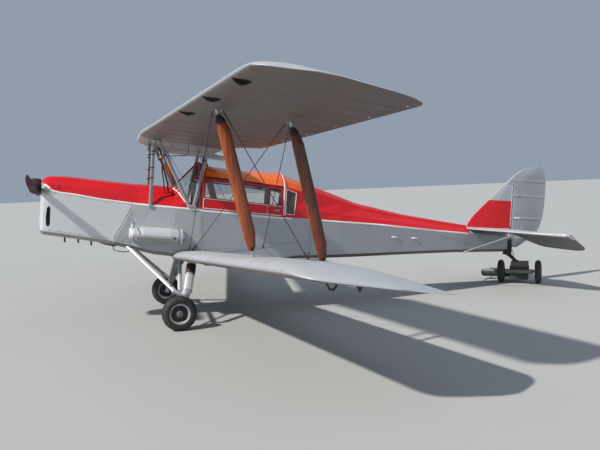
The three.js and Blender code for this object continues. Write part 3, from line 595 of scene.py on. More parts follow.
# Wing skins: fabric over ribs, with the nose covered in thin wood
SECTION = [  # share of the chord, top and bottom in shares of the chord
    (0, 0.035, 0.035), (0.012, 0.0545, 0.0125), (0.05, 0.079, 0.0045), (0.12, 0.1, 0.0015),
    (0.3, 0.117, 0), (0.5, 0.1052, 0), (0.7, 0.0735, 0), (0.88, 0.034, 0), (1, 0.0055, 0),
]
NOSE_LIFT = 0.035
TOP_CURVE, UNDER_CURVE = ([(math.sqrt(row[0]), row[k] - NOSE_LIFT * (1 - row[0])) for row in SECTION]
                          for k in (1, 2))
LOWER_TIP = [  # y, first share, last share, depth
    (0, 0, 1, 1), (4.06, 0, 1, 1), (4.18, 0, 1, 0.86), (4.3, 0.006, 0.968, 0.64),
    (4.39, 0.028, 0.905, 0.48), (4.46, 0.075, 0.825, 0.35), (4.52, 0.2, 0.735, 0.24),
    (4.56, 0.33, 0.68, 0.155), (4.6, 0.46, 0.6, 0.07),
]
UPPER_PLAN = [  # the same for the upper wing, from its root to its own tip
    (0.4703, 0, 0.8, 1), (0.64, 0, 0.815, 1), (0.8, 0, 0.86, 1), (0.96, 0, 0.955, 1),
    (1.08, 0, 0.992, 1), (1.22, 0, 1, 1), (3.8, 0, 1, 1), (4.06, 0, 1, 0.95), (4.18, 0, 1, 0.85),
    (4.25, 0, 0.995, 0.74), (4.3, 0.003, 0.975, 0.61), (4.34, 0.008, 0.935, 0.52),
    (4.38, 0.022, 0.885, 0.43), (4.41, 0.038, 0.825, 0.36), (4.44, 0.07, 0.745, 0.28),
    (4.46, 0.105, 0.68, 0.22), (4.5, 0.18, 0.55, 0.13), (4.545, 0.27, 0.42, 0.05),
]
UPPER_TIP_PLACES = [4.2, 4.24, 4.28, 4.31, 4.34, 4.36, 4.38, 4.41, 4.44, 4.46, 4.48, 4.5, 4.52]
LOWER_TIP_PLACES = [4.2, 4.24, 4.27, 4.33, 4.36, 4.41, 4.435, 4.48, 4.5, 4.535, 4.58]
TIP_BASE = 0.05
BAY_SPREAD = 1.6
LOWER_ROOT_Y = 0.43
LOWER_TIP_Y = 4.6
RIB_STATIONS = (-0.0145, -0.0125, 0.0, 0.0125, 0.0145, 0.06, 0.105, 0.147, 0.19, 0.235)


def height(share, top):
    return curve_value(TOP_CURVE if top else UNDER_CURVE, math.sqrt(max(0, share))) * CHORD


def wing_point(wing, y, u, h=0.0):
    out = abs(y) - ROOT_Y
    i = wing["incidence"]
    return (wing["x"] - out * math.tan(wing["sweep"]) - u * CHORD * math.cos(i) + h * math.sin(i), y,
            wing["z"] + out * math.tan(wing["dihedral"]) - u * CHORD * math.sin(i) + h * math.cos(i))


def spar_point(wing, y, u, top):
    return Vector(wing_point(wing, y, u, height(u, top)))


def sag(y, u):
    """How far the cloth falls between two ribs, and how much the tape over a rib stands up."""
    t = ((abs(y) - CENTRE_HALF) / RIB_PITCH) % 1.0
    cloth = step(u, 0.06, 0.2) * (1 - step(u, 0.9, 0.985))
    tape = TAPE_LIFT if min(t, 1 - t) * RIB_PITCH < TAPE_HALF else 0.0
    return cloth * FABRIC_SAG * 4 * t * (1 - t) - tape * (1 - step(abs(y), 4.16, 4.2))


def over_and_under(spread):
    """Shares of an outline from the tail over the top and back underneath."""
    return [(True, s) for s in spread[::-1]] + [(False, s) for s in spread[1:]]


def rib_ring(wing, y, u0, u1, depth, points=30):
    """The outline of the wing at one station."""
    ring = []
    spread = [(1 - math.cos(math.pi * k / points)) / 2 for k in range(points + 1)]
    for top, s in over_and_under(spread):
        u = u0 + s * (u1 - u0)
        middle = height(u, False) + (height(u, True) - height(u, False)) * TIP_BASE
        camber = (height(s, True) + height(s, False)) / 2
        half = (height(s, True) - height(s, False)) / 2 * (1 if top else -1)
        fall = sag(y, u) * depth if y < TIP_START or depth > 0.9 else 0.0
        h = middle * (1 - depth) + (camber + half) * depth + (-fall if top else fall * 0.7)
        ring.append(wing_point(wing, y, u, h))
    return ring


def bay_ring(wing, y, last, points=30):
    """The outline of the wing ahead of the aileron, cut off at the last share."""
    ring = []
    reach = math.pi / BAY_SPREAD
    spread = [(1 - math.cos(math.pi * k / points / BAY_SPREAD)) / (1 - math.cos(reach))
              for k in range(points + 1)]
    for top, s in over_and_under(spread):
        fall = sag(y, s * last) * (1 - step(s, 0.93, 1.0))
        ring.append(wing_point(wing, y, s * last, height(s * last, top) + (-fall if top else fall * 0.7)))
    return ring


def stations(y0, y1):
    """Span stations, close together at each rib's tape."""
    found = {round(y0, 4), round(y1, 4)}
    k = math.floor((y0 - CENTRE_HALF) / RIB_PITCH)
    while CENTRE_HALF + k * RIB_PITCH < y1 + RIB_PITCH:
        rib = CENTRE_HALF + k * RIB_PITCH
        found |= {round(rib + d, 4) for d in RIB_STATIONS if y0 < rib + d < y1}
        k += 1
    return found


def planned_ring(wing, plan, y):
    return rib_ring(wing, y, *[curve_value([(row[0], row[k]) for row in plan], y) for k in (1, 2, 3)])


def mirrored(ring, side):
    return [(x, y * side, z) for x, y, z in ring]


def upper_wing(side, word):
    places = sorted(stations(UPPER_PLAN[0][0], UPPER_PLAN[-1][0]) | set(UPPER_TIP_PLACES))
    Kit().loft([mirrored(planned_ring(UPPER, UPPER_PLAN, y), side) for y in places]).piece(
        f"upper_wing_skin_{word}", "silver_fabric", limit=50, slot="silver_fabric",
        node=f"upper_wing_{word}")


CENTRE_SHIFT = ROOT_Y - CENTRE_HALF
CENTRE_WING = dict(UPPER, sweep=0.0, dihedral=0.0,
                   x=UPPER["x"] + CENTRE_SHIFT * math.tan(UPPER["sweep"]),
                   z=UPPER["z"] - CENTRE_SHIFT * math.tan(UPPER["dihedral"]))


def centre_section():
    Kit().loft([rib_ring(CENTRE_WING, y, 0, 0.8, 1) for y in (-0.47, -0.235, 0, 0.235, 0.47)]).piece(
        "centre_section_skin", "silver_metal", limit=50, slot="silver_fabric", node="centre_section")


def lower_wing(side, word):
    bay = AILERON_INNER - CLEAR, AILERON_OUTER + CLEAR
    bay_share = AILERON_HINGE - (AILERON_NOSE + CLEAR) / CHORD
    kit = Kit()
    for y0, y1, extra in ((LOWER_ROOT_Y, bay[0], []), (*bay, None), (bay[1], LOWER_TIP_Y, LOWER_TIP_PLACES)):
        kit.loft([mirrored(bay_ring(LOWER, y, bay_share) if extra is None
                           else planned_ring(LOWER, LOWER_TIP, y), side)
                  for y in sorted(stations(y0, y1) | set(extra or []))])
    kit.piece(f"lower_wing_skin_{word}", "silver_fabric", limit=50, slot="silver_fabric",
              node=f"lower_wing_{word}")


def aileron(side, word):
    rings = []
    middle = (height(AILERON_HINGE, True) + height(AILERON_HINGE, False)) / 2
    shares = [1 - 0.19 * (k / 9) for k in range(10)]
    for y in sorted(stations(AILERON_INNER, AILERON_OUTER)):
        falls = {u: sag(y, 0.5) * step(u, 0.8, 0.83) * (1 - step(u, 0.93, 0.99)) for u in shares}
        ring = [wing_point(LOWER, y, u, height(u, True) - falls[u] * 0.6) for u in shares]
        for k in range(13):
            turn = math.pi * (0.5 + k / 12)
            ring.append(wing_point(LOWER, y, AILERON_HINGE + math.cos(turn) * AILERON_NOSE / CHORD,
                                   middle + math.sin(turn) * AILERON_NOSE))
        ring += [wing_point(LOWER, y, u, height(u, False) + falls[u] * 0.4) for u in shares[::-1]]
        rings.append(mirrored(ring, side))
    Kit().loft(rings).piece(f"aileron_skin_{word}", "silver_fabric", f"aileron_{word}_body", 50,
                            "silver_fabric", f"aileron_{word}")


# Tail skins
TAIL_FRONT = [(0, -4.335), (0.15, -4.345), (0.56, -4.52), (0.95, -4.7), (1.24, -4.86), (1.37, -4.95),
              (1.44, -5.0)]
ELEVATOR_BACK = [(0.19, -5.2), (0.24, -5.33), (0.29, -5.38), (0.42, -5.47), (0.62, -5.486),
                 (1.12, -5.48), (1.31, -5.44), (1.42, -5.36), (1.465, -5.25), (1.48, -5.13)]
FIN_FRONT = [(1.147, -4.352), (1.262, -4.42), (1.574, -4.726), (1.806, -4.955)]
HORN_FRONT = [(1.8161, -4.986), (1.92, -5.08), (2.028, -5.207), (2.124, -5.43), (2.142, -5.6)]
RUDDER_BACK = [(0.862, -5.272), (0.892, -5.318), (0.945, -5.405), (0.99, -5.476), (1.056, -5.563),
               (1.146, -5.644), (1.323, -5.706), (1.56, -5.732), (1.8, -5.734), (1.98, -5.72),
               (2.1, -5.688), (2.142, -5.62)]
TAIL_TAPE_LIFT = 0.0008
TAIL_RIBS = [0.22, 0.47, 0.72, 0.97, 1.22]
RUDDER_RIBS = [1.0, 1.31, 1.66, 1.9]
ELEVATOR_RADIUS = 0.024
HINGE_HALF = 0.016
ELEVATOR_BARS = [(0, 0.2, ELEVATOR_RADIUS, 16)]  # y, half length, radius, sides
ELEVATOR_BARS += [(y, HINGE_HALF, 0.0294, 24) for y in (-1.15, -0.33, 0.33, 1.15)]


def edge_lens(share, nose, tail, thick, lead=1.0):
    """Half thickness along the chord of a tail surface: round nose, flat middle, thin tail."""
    rise = math.sqrt(max(0.0, 1 - (1 - min(1, share / nose)) ** 2))
    fall = 1 - (1 - tail) * step(share, 0.35, 1.0)
    return thick / 2 * rise * fall * (lead + (1 - lead) * step(share, 0.0, 0.42))


def flat_surface(kit, span, ribs, front, back, half, place, tape=TAIL_TAPE_LIFT):
    """A thin skin between a front and a back curve; half gives its half thickness, place its axes."""
    low, high = span
    edges = {r + d for r in ribs for d in (-0.0145, -0.012, 0.012, 0.0145)}
    count = int((high - low) / 0.06) + 1
    spans = {low, high} | {s for s in edges if low < s < high}
    spans |= {low + (high - low) * k / count for k in range(count)}
    shares = [(1 - math.cos(math.pi * k / 22)) / 2 for k in range(23)]
    rings = []
    for s in sorted(spans):
        ring = []
        x0, x1 = front(s), back(s)
        on_rib = any(abs(s - r) < TAPE_HALF for r in ribs)
        for top, share in over_and_under(shares):
            lift = tape if on_rib and 0.03 < share < 0.97 else 0.0
            h = (1 if top else -1) * (half(share, s) + lift)
            ring.append(place(x0 + share * (x1 - x0), s, h))
        rings.append(ring)
    kit.loft(rings)


def tailplane():
    kit = Kit()
    flat_surface(kit, (-1.43, 1.43), [-r for r in TAIL_RIBS] + [0.0] + TAIL_RIBS,
                 lambda s: curve_value(TAIL_FRONT, abs(s)), lambda s: TAIL_HINGE_X + 0.03,
                 lambda share, s: edge_lens(share, 0.03, 0.88, TAIL_THICK, 0.42),
                 lambda x, s, h: (x, s, TAIL_Z + h))
    kit.piece("tailplane_skin", "silver_fabric", limit=40, slot="silver_fabric", node="tailplane")


def elevators():
    turn = Matrix.Translation((TAIL_HINGE_X, 0, TAIL_Z)) @ Matrix.Rotation(-ELEVATOR_DROOP, 4, "Y") \
        @ Matrix.Translation((-TAIL_HINGE_X, 0, -TAIL_Z))
    kit = Kit()
    for side in (1, -1):
        flat_surface(kit, (0.19, 1.478), TAIL_RIBS, lambda s: TAIL_HINGE_X + ELEVATOR_RADIUS,
                     lambda s: curve_value(ELEVATOR_BACK, s),
                     lambda share, s: edge_lens(share, 0.055, 0.12, 2 * ELEVATOR_RADIUS),
                     lambda x, s, h, side=side: turn @ Vector((x, s * side, TAIL_Z + h)))
    for y, half, radius, sides in ELEVATOR_BARS:
        kit.tube([turn @ Vector((TAIL_HINGE_X, y + d, TAIL_Z)) for d in (-half, half)], radius, sides)
    kit.piece("elevator_skins", "silver_fabric", "elevator_body", 40, "silver_fabric", "elevators")


def fin():
    kit = Kit()
    flat_surface(kit, (1.1473, FIN_TOP_Z), [1.45], lambda s: curve_value(FIN_FRONT, s),
                 lambda s: RUDDER_HINGE_X + 0.029,
                 lambda share, s: edge_lens(share, 0.04, 0.95, FIN_THICK, 0.45),
                 lambda x, s, h: (x, h, s), 0.0)
    kit.piece("fin_skin", "fin_paint", limit=40, slot="red_fabric", node="fin")


def rudder():
    kit = Kit()
    flat_surface(kit, (0.862, 1.8155), RUDDER_RIBS, lambda s: RUDDER_HINGE_X + FIN_THICK / 2,
                 lambda s: curve_value(RUDDER_BACK, s),
                 lambda share, s: edge_lens(share, 0.06, 0.16, FIN_THICK), lambda x, s, h: (x, h, s))
    flat_surface(kit, (1.8161, 2.141), RUDDER_RIBS, lambda s: curve_value(HORN_FRONT, s),
                 lambda s: curve_value(RUDDER_BACK, s),
                 lambda share, s: edge_lens(share, 0.05, 0.2, FIN_THICK * (1 - 0.85 * step(s, 2.02, 2.142)),
                                            0.6), lambda x, s, h: (x, h, s))
    for z in (1.31, 1.66):
        kit.tube([(RUDDER_HINGE_X, 0, z + d) for d in (-HINGE_HALF, HINGE_HALF)], 0.0276, 24)
    kit.piece("rudder_skin", "silver_fabric", "rudder_body", 40, "silver_fabric", "rudder")


# Lines and strips that lie on the body
def tree_of(objs):
    verts, faces = [], []
    for obj in objs:
        base = len(verts)
        verts += [v.co.copy() for v in obj.data.vertices]
        faces += [[base + i for i in p.vertices] for p in obj.data.polygons]
    return BVHTree.FromPolygons(verts, faces)


BODY_NODES = ["cowl_top", "cowl_sides", "scuttle_deck", "front_fuselage", "cabin_frame", "door_port",
              "door_starboard", "rear_fuselage", "rear_decking"]
BODY_TREE = tree_of([nodes[name] for name in BODY_NODES])


def on_side(x, z, side=1, tree=BODY_TREE):
    """The outer surface beside a point of the side view, with the way out from it."""
    hit, normal, _, _ = tree.ray_cast(at(x, 1.2 * side, z), Vector((0, -side, 0)))
    if hit is None:
        return None
    return hit, (-normal if normal.y * side < 0 else normal)


def on_top(x, y):
    down = PITCH.to_3x3() @ Vector((0, 0, -1))
    hit, normal, _, _ = BODY_TREE.ray_cast(at(x, y, 2.6), down)
    return hit, (normal if normal.dot(down) < 0 else -normal)


def split(start, end, count, shift=0.0):
    """Points from start towards end, one for each of count equal parts."""
    (x0, z0), (x1, z1) = start, end
    return [(x0 + (x1 - x0) * (k + shift) / count, z0 + (z1 - z0) * (k + shift) / count)
            for k in range(count)]


def split_path(path, gap, shift=0.0):
    points = []
    for start, end in zip(path, path[1:]):
        points += split(start, end, max(1, int(math.dist(start, end) / gap)), shift)
    return points


def band(name, rows, finish, body, thick, offset, flip=False):
    """A thin closed band through rows of three points."""
    faces = []
    for i in range(len(rows) - 1):
        for a in (i * 3, i * 3 + 1):
            faces.append([a, a + 3, a + 4, a + 1] if flip else [a, a + 1, a + 4, a + 3])
    mesh = bpy.data.meshes.new(name)
    mesh.from_pydata([p for row in rows for p in row], [], faces)
    for polygon in mesh.polygons:
        polygon.use_smooth = True
    mesh.materials.append(M[finish].material)
    obj = link(name, mesh)
    solid = obj.modifiers.new("solid", "SOLIDIFY")
    solid.thickness = thick
    solid.offset = offset
    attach(obj, body)


def side_strip(name, path, width, finish, side, lift=0.0007, body="airframe", tree=BODY_TREE, drop=0.5):
    """A narrow band on the body along a side-view path; drop is the share of it below the path."""
    points = split_path(path, 0.03) + [path[-1]]
    rows = []
    for i, (x, z) in enumerate(points):
        ahead = Vector(points[min(i + 1, len(points) - 1)]) - Vector(points[max(i - 1, 0)])
        across = Vector((-ahead.y, ahead.x)).normalized()
        if across.y < 0 or (abs(across.y) < 1e-6 and across.x < 0):
            across = -across
        found = [on_side(x + across.x * share * width, z + across.y * share * width, side, tree)
                 for share in (1 - drop, 0.5 - drop, -drop)]
        if all(found):
            rows.append([hit + out * lift for hit, out in found])
    band(name, rows, finish, body, 0.0006, 1.0, side < 0)


HOOP_Z = 1.2
HOOP_REACH = 1.4
HOOP_STEPS = 60


def hoop(name, x, low_z, width, finish, lift):
    """A band over the body from one side to the other at one station."""
    rows = []
    for k in range(HOOP_STEPS + 1):
        turn = math.pi * k / HOOP_STEPS
        row = []
        for offset in (-width / 2, 0, width / 2):
            start = at(x + offset, math.cos(turn) * HOOP_REACH, HOOP_Z + math.sin(turn) * HOOP_REACH)
            aim = at(x + offset, 0, HOOP_Z)
            hit, normal, _, _ = BODY_TREE.ray_cast(start, (aim - start).normalized())
            if hit is not None:
                row.append(hit + (-normal if normal.dot(start - aim) < 0 else normal) * lift)
        if len(row) == 3 and (STAND.inverted() @ row[1]).z > low_z:
            rows.append(row)
    band(name, rows, finish, "airframe", 0.002, 0)


def studs(name, spots, radius, finish, side, tree=BODY_TREE, body="airframe"):
    """Low round fasteners at side-view spots."""
    kit = world_kit()
    for x, z in spots:
        found = on_side(x, z, side, tree)
        if found:
            kit.turned([(radius, -0.001), (radius, 0.0015), (radius * 0.7, 0.0032),
                        (radius * 0.1, 0.0036)], *found, 12)
    kit.piece(name, finish, body)


def beading(name, outline, middle, margin, radius, finish, body, side, tree, gap):
    """A round bead just outside a window's outline."""
    kit = world_kit()
    for start, end in zip(outline, outline[1:]):
        count = max(2, int(math.dist(start, end) / gap)) if gap else 6
        points = []
        for x, z in split(start, end, count) + [end]:
            outward = Vector((x - middle[0], z - middle[1])).normalized() * margin
            found = on_side(x + outward.x, z + outward.y, side, tree)
            if found:
                points.append(found[0] + found[1] * 0.001)
        if len(points) > 1:
            kit.tube(points, radius, 8)
    kit.piece(name, finish, body)


CHEAT_LINE = [  # x, z of the painted line, which is also where upper and lower panels meet
    (1.65, 1.468), (1.644, 1.467), (1.57, 1.432), (1.52, 1.384), (1.44, 1.362), (1.256, 1.347),
    (0.96, 1.306), (0.527, 1.269), (-0.25, 1.2365), (-0.27, 1.226), (-1.332, 1.175),
    (-1.35, 1.181), (-2.723, 1.144), (-3.796, 1.084), (-4.32, 1.0615),
]
CHEAT_WIDTH = 0.025
COWL_SEAM = [(0.554, 1.25), (0.819, 0.722)]


def body_lines(side, word):
    side_strip(f"cheat_line_{word}", CHEAT_LINE, CHEAT_WIDTH, "white_line", side, drop=0.98)
    side_strip(f"cowl_seam_{word}", COWL_SEAM, 0.009, "seam_dark", side)
    side_strip(f"cowl_seam_edge_{word}", [(x - 0.012, z) for x, z in COWL_SEAM], 0.008, "white_line", side)
    if side > 0:
        side_strip("side_panel_seam", [(0.62, 0.87), (0.7, 0.745)], 0.014, "seam_soft", side)
        side_strip("side_strap", [(0.36, 1.225), (0.43, 1.07)], 0.006, "seam_soft", side)


# Build of the main forms
SOFTENED = [  # crease angle, rounding, nodes
    (46, 0, ["cowl_top", "cowl_sides", "scuttle_deck", "rear_decking"]),
    (30, 0, ["front_fuselage", "rear_fuselage", "cabin_frame"]),
    (34, 0.006, ["engine_block", "dolly_frame"]),
    (34, 0.002, ["instrument_panel"]),
    (34, 0.004, ["tail_skid"]),
    (34, 0, ["firewall", "oil_tank", "exhaust_pipe"]),
    (40, 0, ["roof_panel_front", "roof_panel_rear"]),
    (40, 0, [f"{pair}_{word}" for _, word in SIDES for pair in (
        "gear", "cabane_struts", "interplane_strut_front", "interplane_strut_rear", "tailplane_strut",
        "flying_wire_front", "flying_wire_rear", "incidence_wire", "drag_wire", "door", "door_glass",
        "quarter_glass", "windscreen")]),
]
dress_nodes()
for crease, rounding, names in SOFTENED:
    for soft_node in names:
        soften_node(soft_node, crease, rounding)
for wing_part in (upper_wing, lower_wing, aileron):
    both_sides(wing_part)
centre_section()
tailplane()
elevators()
fin()
rudder()
both_sides(body_lines)


# Propeller: laminated blades and a bolted boss
PROP_X = 1.722
THRUST_Z = 1.415
PROP_RADIUS = 0.99
HUB_BACK_X = 1.669
BLADE_RAISE = math.radians(2)
PROP_BOLT_CIRCLE = 0.062
BLADE = [  # share of the radius, width, thickness, pitch in degrees
    (0.05, 0.11, 0.09, 44), (0.14, 0.134, 0.084, 40), (0.3, 0.196, 0.058, 29),
    (0.5, 0.222, 0.04, 22), (0.72, 0.2, 0.026, 16), (0.9, 0.146, 0.016, 14),
    (0.98, 0.086, 0.01, 13), (1.0, 0.04, 0.006, 13),
]
BLADE_SHARES = [0.05, 0.08, 0.11, 0.14, 0.18, 0.22, 0.26, 0.3, 0.36, 0.43, 0.5, 0.57, 0.65, 0.72, 0.8,
                0.86, 0.9, 0.94, 0.965, 0.98, 0.99, 1.0]
SHEATH_SHARES = [0.52, 0.6, 0.7, 0.8, 0.88, 0.94, 0.97, 0.985, 0.995]


def prop_place(x, y, z):
    turn = Matrix.Rotation(BLADE_RAISE, 4, "X")
    return STAND @ Matrix.Translation((0, 0, THRUST_Z)) @ turn @ Vector((x, y, z))


def blade_ring(direction, share, grow=0.0, count=28):
    width, thick, pitch = (curve_value([(row[0], row[k]) for row in BLADE], share) for k in (1, 2, 3))
    pitch = math.radians(pitch)
    ring = []
    for t in turns(count):
        along = math.cos(t) * (width + grow) / 2
        across = math.sin(t) * (thick + grow) / 2 * (1.0 if math.sin(t) > 0 else 0.55)
        ring.append((PROP_X + along * math.sin(pitch) + across * math.cos(pitch),
                     direction * share * PROP_RADIUS,
                     direction * (along * math.cos(pitch) - across * math.sin(pitch))))
    return ring


def edge_ring(direction, share):
    """The metal strip round the blade's leading edge."""
    ring = blade_ring(direction, share, 0.003, 48)
    inner = blade_ring(direction, share, -0.002, 48)
    return ring[-6:] + ring[:7] + inner[6:0:-1] + inner[:1] + inner[-1:-7:-1]


def propeller():
    blades, tips, hub = Kit(prop_place), Kit(prop_place), Kit(prop_place)
    for direction in (1, -1):
        blades.loft([blade_ring(direction, s) for s in BLADE_SHARES])
        tips.loft([edge_ring(direction, s) for s in SHEATH_SHARES])
    back = (HUB_BACK_X, 0, 0)
    blades.turned([(0.088, 0.0003), (0.092, 0.004), (0.094, 0.018), (0.098, 0.03), (0.098, 0.09),
                   (0.09, 0.106), (0.05, 0.108)], back, (1, 0, 0), 40)
    blades.piece("propeller_blades", "propeller_wood", "propeller_body", 50, "propeller_wood", "propeller")
    tips.piece("propeller_edge_sheaths", "sheath_metal", "propeller_body", 50)
    hub.turned([(0.084, 0.107), (0.084, 0.119), (0.08, 0.123), (0.04, 0.123)], back, (1, 0, 0), 40)
    for t in turns(8):
        centre = (HUB_BACK_X + 0.121, math.cos(t) * PROP_BOLT_CIRCLE, math.sin(t) * PROP_BOLT_CIRCLE)
        hub.turned([(0.011, 0), (0.011, 0.009), (0.006, 0.012)], centre, (1, 0, 0), 6)
    hub.turned([(0.038, 0.122), (0.037, 0.132), (0.033, 0.142), (0.0285, 0.149)], back, (1, 0, 0), 32)
    hub.piece("propeller_boss_plate", "boss_iron", "propeller_body", 40)


propeller()


# Main wheels: fat tyre, dished disc cover, hub cap
WHEEL_Y = 0.946
# Values of tyre_profile, then profiles of radius and distance along the axle
MAIN_TYRE = ((0.122, 0.058), 0.148, 0.058, 0.075, 0.0745, 0.72, 24)
BOLT_CIRCLE = 0.062
TYRE_RIB = [(0.2045, -0.002), (0.2062, -0.001), (0.2062, 0.001), (0.2045, 0.002)]
WHEEL_DISC = [(0.023, 0.02), (0.023, 0.052), (0.04, 0.052), (0.052, 0.04), (0.075, 0.033),
              (0.098, 0.0335), (0.1, 0.028)]
WHEEL_RIM = [(0.096, 0.03), (0.098, 0.046), (0.103, 0.058), (0.109, 0.065), (0.116, 0.0695),
             (0.121, 0.0705), (0.1235, 0.069), (0.12, 0.06)]
HUB_CAP = [(0.041, 0.05), (0.041, 0.06), (0.037, 0.064), (0.026, 0.066), (0.022, 0.0735), (0.0, 0.0742)]
HUB_BOLT = [(0.006, 0.036), (0.006, 0.042), (0.003, 0.044)]


def tyre_profile(lip, middle, crown, swell, flat, arc, count):
    """A fat round profile between two lips, round a middle radius, with its sides no wider than flat."""
    rows = []
    for k in range(count + 1):
        t = math.pi * (-arc + 2 * arc * k / count)
        rows.append((middle + crown * math.cos(t), max(-flat, min(flat, swell * math.sin(t)))))
    return [(lip[0], -lip[1]), *rows, lip]


def main_wheel(side, word):
    body = f"wheel_{word}_body"
    centre, axle = (0, side * WHEEL_Y, 0), (0, 1, 0)
    Kit().turned(tyre_profile(*MAIN_TYRE), centre, axle, 56, True).piece(
        f"main_tyre_{word}", "tyre_rubber", body, 40, "tyre_rubber", f"main_wheel_{word}")
    for k in range(3):
        Kit().turned([(r, -0.02 + 0.02 * k + h) for r, h in TYRE_RIB], centre, axle, 56, True).piece(
            f"tyre_rib_{word}_{k}", "tyre_rubber", body)
    disc, rim, cap = Kit(), Kit(), Kit()
    for face in (1, -1):
        disc.turned(facing(WHEEL_DISC, face), centre, axle, 48, True)
        rim.turned(facing(WHEEL_RIM, face), centre, axle, 48, True)
    cap.turned(HUB_CAP, centre, (0, side, 0), 32)
    for t in turns(6):
        cap.turned(HUB_BOLT, (math.cos(t) * BOLT_CIRCLE, side * WHEEL_Y, math.sin(t) * BOLT_CIRCLE),
                   (0, side, 0), 6)
    disc.piece(f"wheel_disc_{word}", "hub_dark", body, 40)
    rim.piece(f"wheel_rim_{word}", "strut_steel", body, 40)
    cap.piece(f"hub_cap_{word}", "hub_grey", body, 40)


both_sides(main_wheel)


# Cabin trim: hoops, rails, painted outlines, window beads, handles and screws
ROOF_RAIL = [(-0.29, 1.638), (-0.38, 1.633), (-0.8, 1.614), (-1.326, 1.572)]
SCREEN_FOOT = [(0.118, 1.497), (0.075, 1.478), (0.022, 1.438), (-0.052, 1.335), (-0.135, 1.25),
               (-0.225, 1.24)]
DOOR_TOP = [(-0.287, 1.249), (-0.287, 1.352), (-0.292, 1.368), (-0.308, 1.374), (-0.8, 1.3475),
            (-1.312, 1.3195)]
DOOR_LINES = [  # name, path, width, finish
    ("door_outline", DOOR_TOP, 0.011, "white_line"),
    ("door_foot_line", [(-0.284, 1.249), (-1.316, 1.1985)], 0.01, "white_line"),
    ("door_mark", [(-1.12, 1.205), (-1.12, 1.315)], 0.005, "edge_pale"),
]
DOOR_WINDOW = [(-0.304, 1.385), (-1.294, 1.329), (-1.294, 1.532), (-0.8, 1.574), (-0.38, 1.594),
               (-0.308, 1.598), (-0.304, 1.385)]
QUARTER_WINDOW = [(-1.378, 1.23), (-1.486, 1.224), (-1.514, 1.5), (-1.378, 1.538), (-1.378, 1.23)]


def cabin_side(side, word):
    side_strip(f"roof_rail_{word}", ROOF_RAIL, 0.018, "leather_trim", side, 0.002)
    side_strip(f"screen_foot_{word}", SCREEN_FOOT, 0.02, "white_line", side, 0.006)
    door = tree_of([nodes[f"door_{word}"]])
    body = f"door_{word}_body"
    for name, path, width, finish in DOOR_LINES:
        side_strip(f"{name}_{word}", path, width, finish, side, 0.001, body, door)
    beading(f"door_window_beading_{word}", DOOR_WINDOW, (-0.8, 1.46), 0.004, 0.0045, "leather_trim",
            body, side, door, 0.1)
    place, out = on_side(-1.27, 1.262, side, door)
    ahead = (at(-1.2, 0, 1.26) - at(-1.3, 0, 1.255)).normalized()
    world_kit().turned(
        [(0.016, -0.001), (0.016, 0.004), (0.011, 0.008), (0.008, 0.026), (0.008, 0.03)], place, out, 20
    ).tube([place + out * 0.026 - ahead * 0.012, place + out * 0.027 + ahead * 0.03,
            place + out * 0.024 + ahead * 0.066], [0.0085, 0.007, 0.0055], 12).piece(
        f"door_handle_{word}", "steel_bright", body)
    studs(f"door_screws_{word}", split_path([(-0.31, 1.252), (-1.3, 1.201)], 0.11, 0.5), 0.004,
          "steel_bright", side, door, body)
    quarter = tree_of([nodes[f"quarter_glass_{word}"], nodes["cabin_frame"]])
    beading(f"quarter_window_beading_{word}", QUARTER_WINDOW, (-1.44, 1.37), 0.006, 0.005, "edge_pale",
            "airframe", side, quarter, None)


def cabin_trim():
    hoop("cabin_bow", -1.352, 1.19, 0.03, "white_line", 0.004)
    hoop("cabin_bow_groove", -1.352, 1.195, 0.006, "rail_crimson", 0.0065)
    hoop("screen_bow", -0.262, 1.27, 0.026, "leather_trim", 0.003)
    both_sides(cabin_side)
    spots = [on_top(x, y) for x, y in split((0.075, 0), (-0.25, 0), 14) + [(-0.25, 0)]]
    world_kit().tube([hit + out * 0.001 for hit, out in spots], 0.009, 10).piece(
        "screen_centre_bar", "leather_trim")
    Kit().turned([(0.002, -0.036), (0.036, -0.03), (0.054, -0.012), (0.058, 0.006), (0.05, 0.02),
                  (0.002, 0.026)], (-0.235, 0, 1.722), (1, 0, 0.1), 24).tube(
        [(-0.25, 0, 1.77), (-0.262, 0, 1.806)], 0.008, 8).piece("compass_pod", "leather_trim")


# Instruments, controls and the tubes inside the cabin
DIALS = [  # y, z, radius
    (0.3, 1.395, 0.036), (0.2, 1.395, 0.036), (0.1, 1.4, 0.04), (0.0, 1.4, 0.04),
    (-0.1, 1.4, 0.04), (-0.2, 1.395, 0.036), (-0.3, 1.395, 0.036), (0.15, 1.31, 0.03),
    (0.0, 1.31, 0.03), (-0.15, 1.31, 0.03),
]


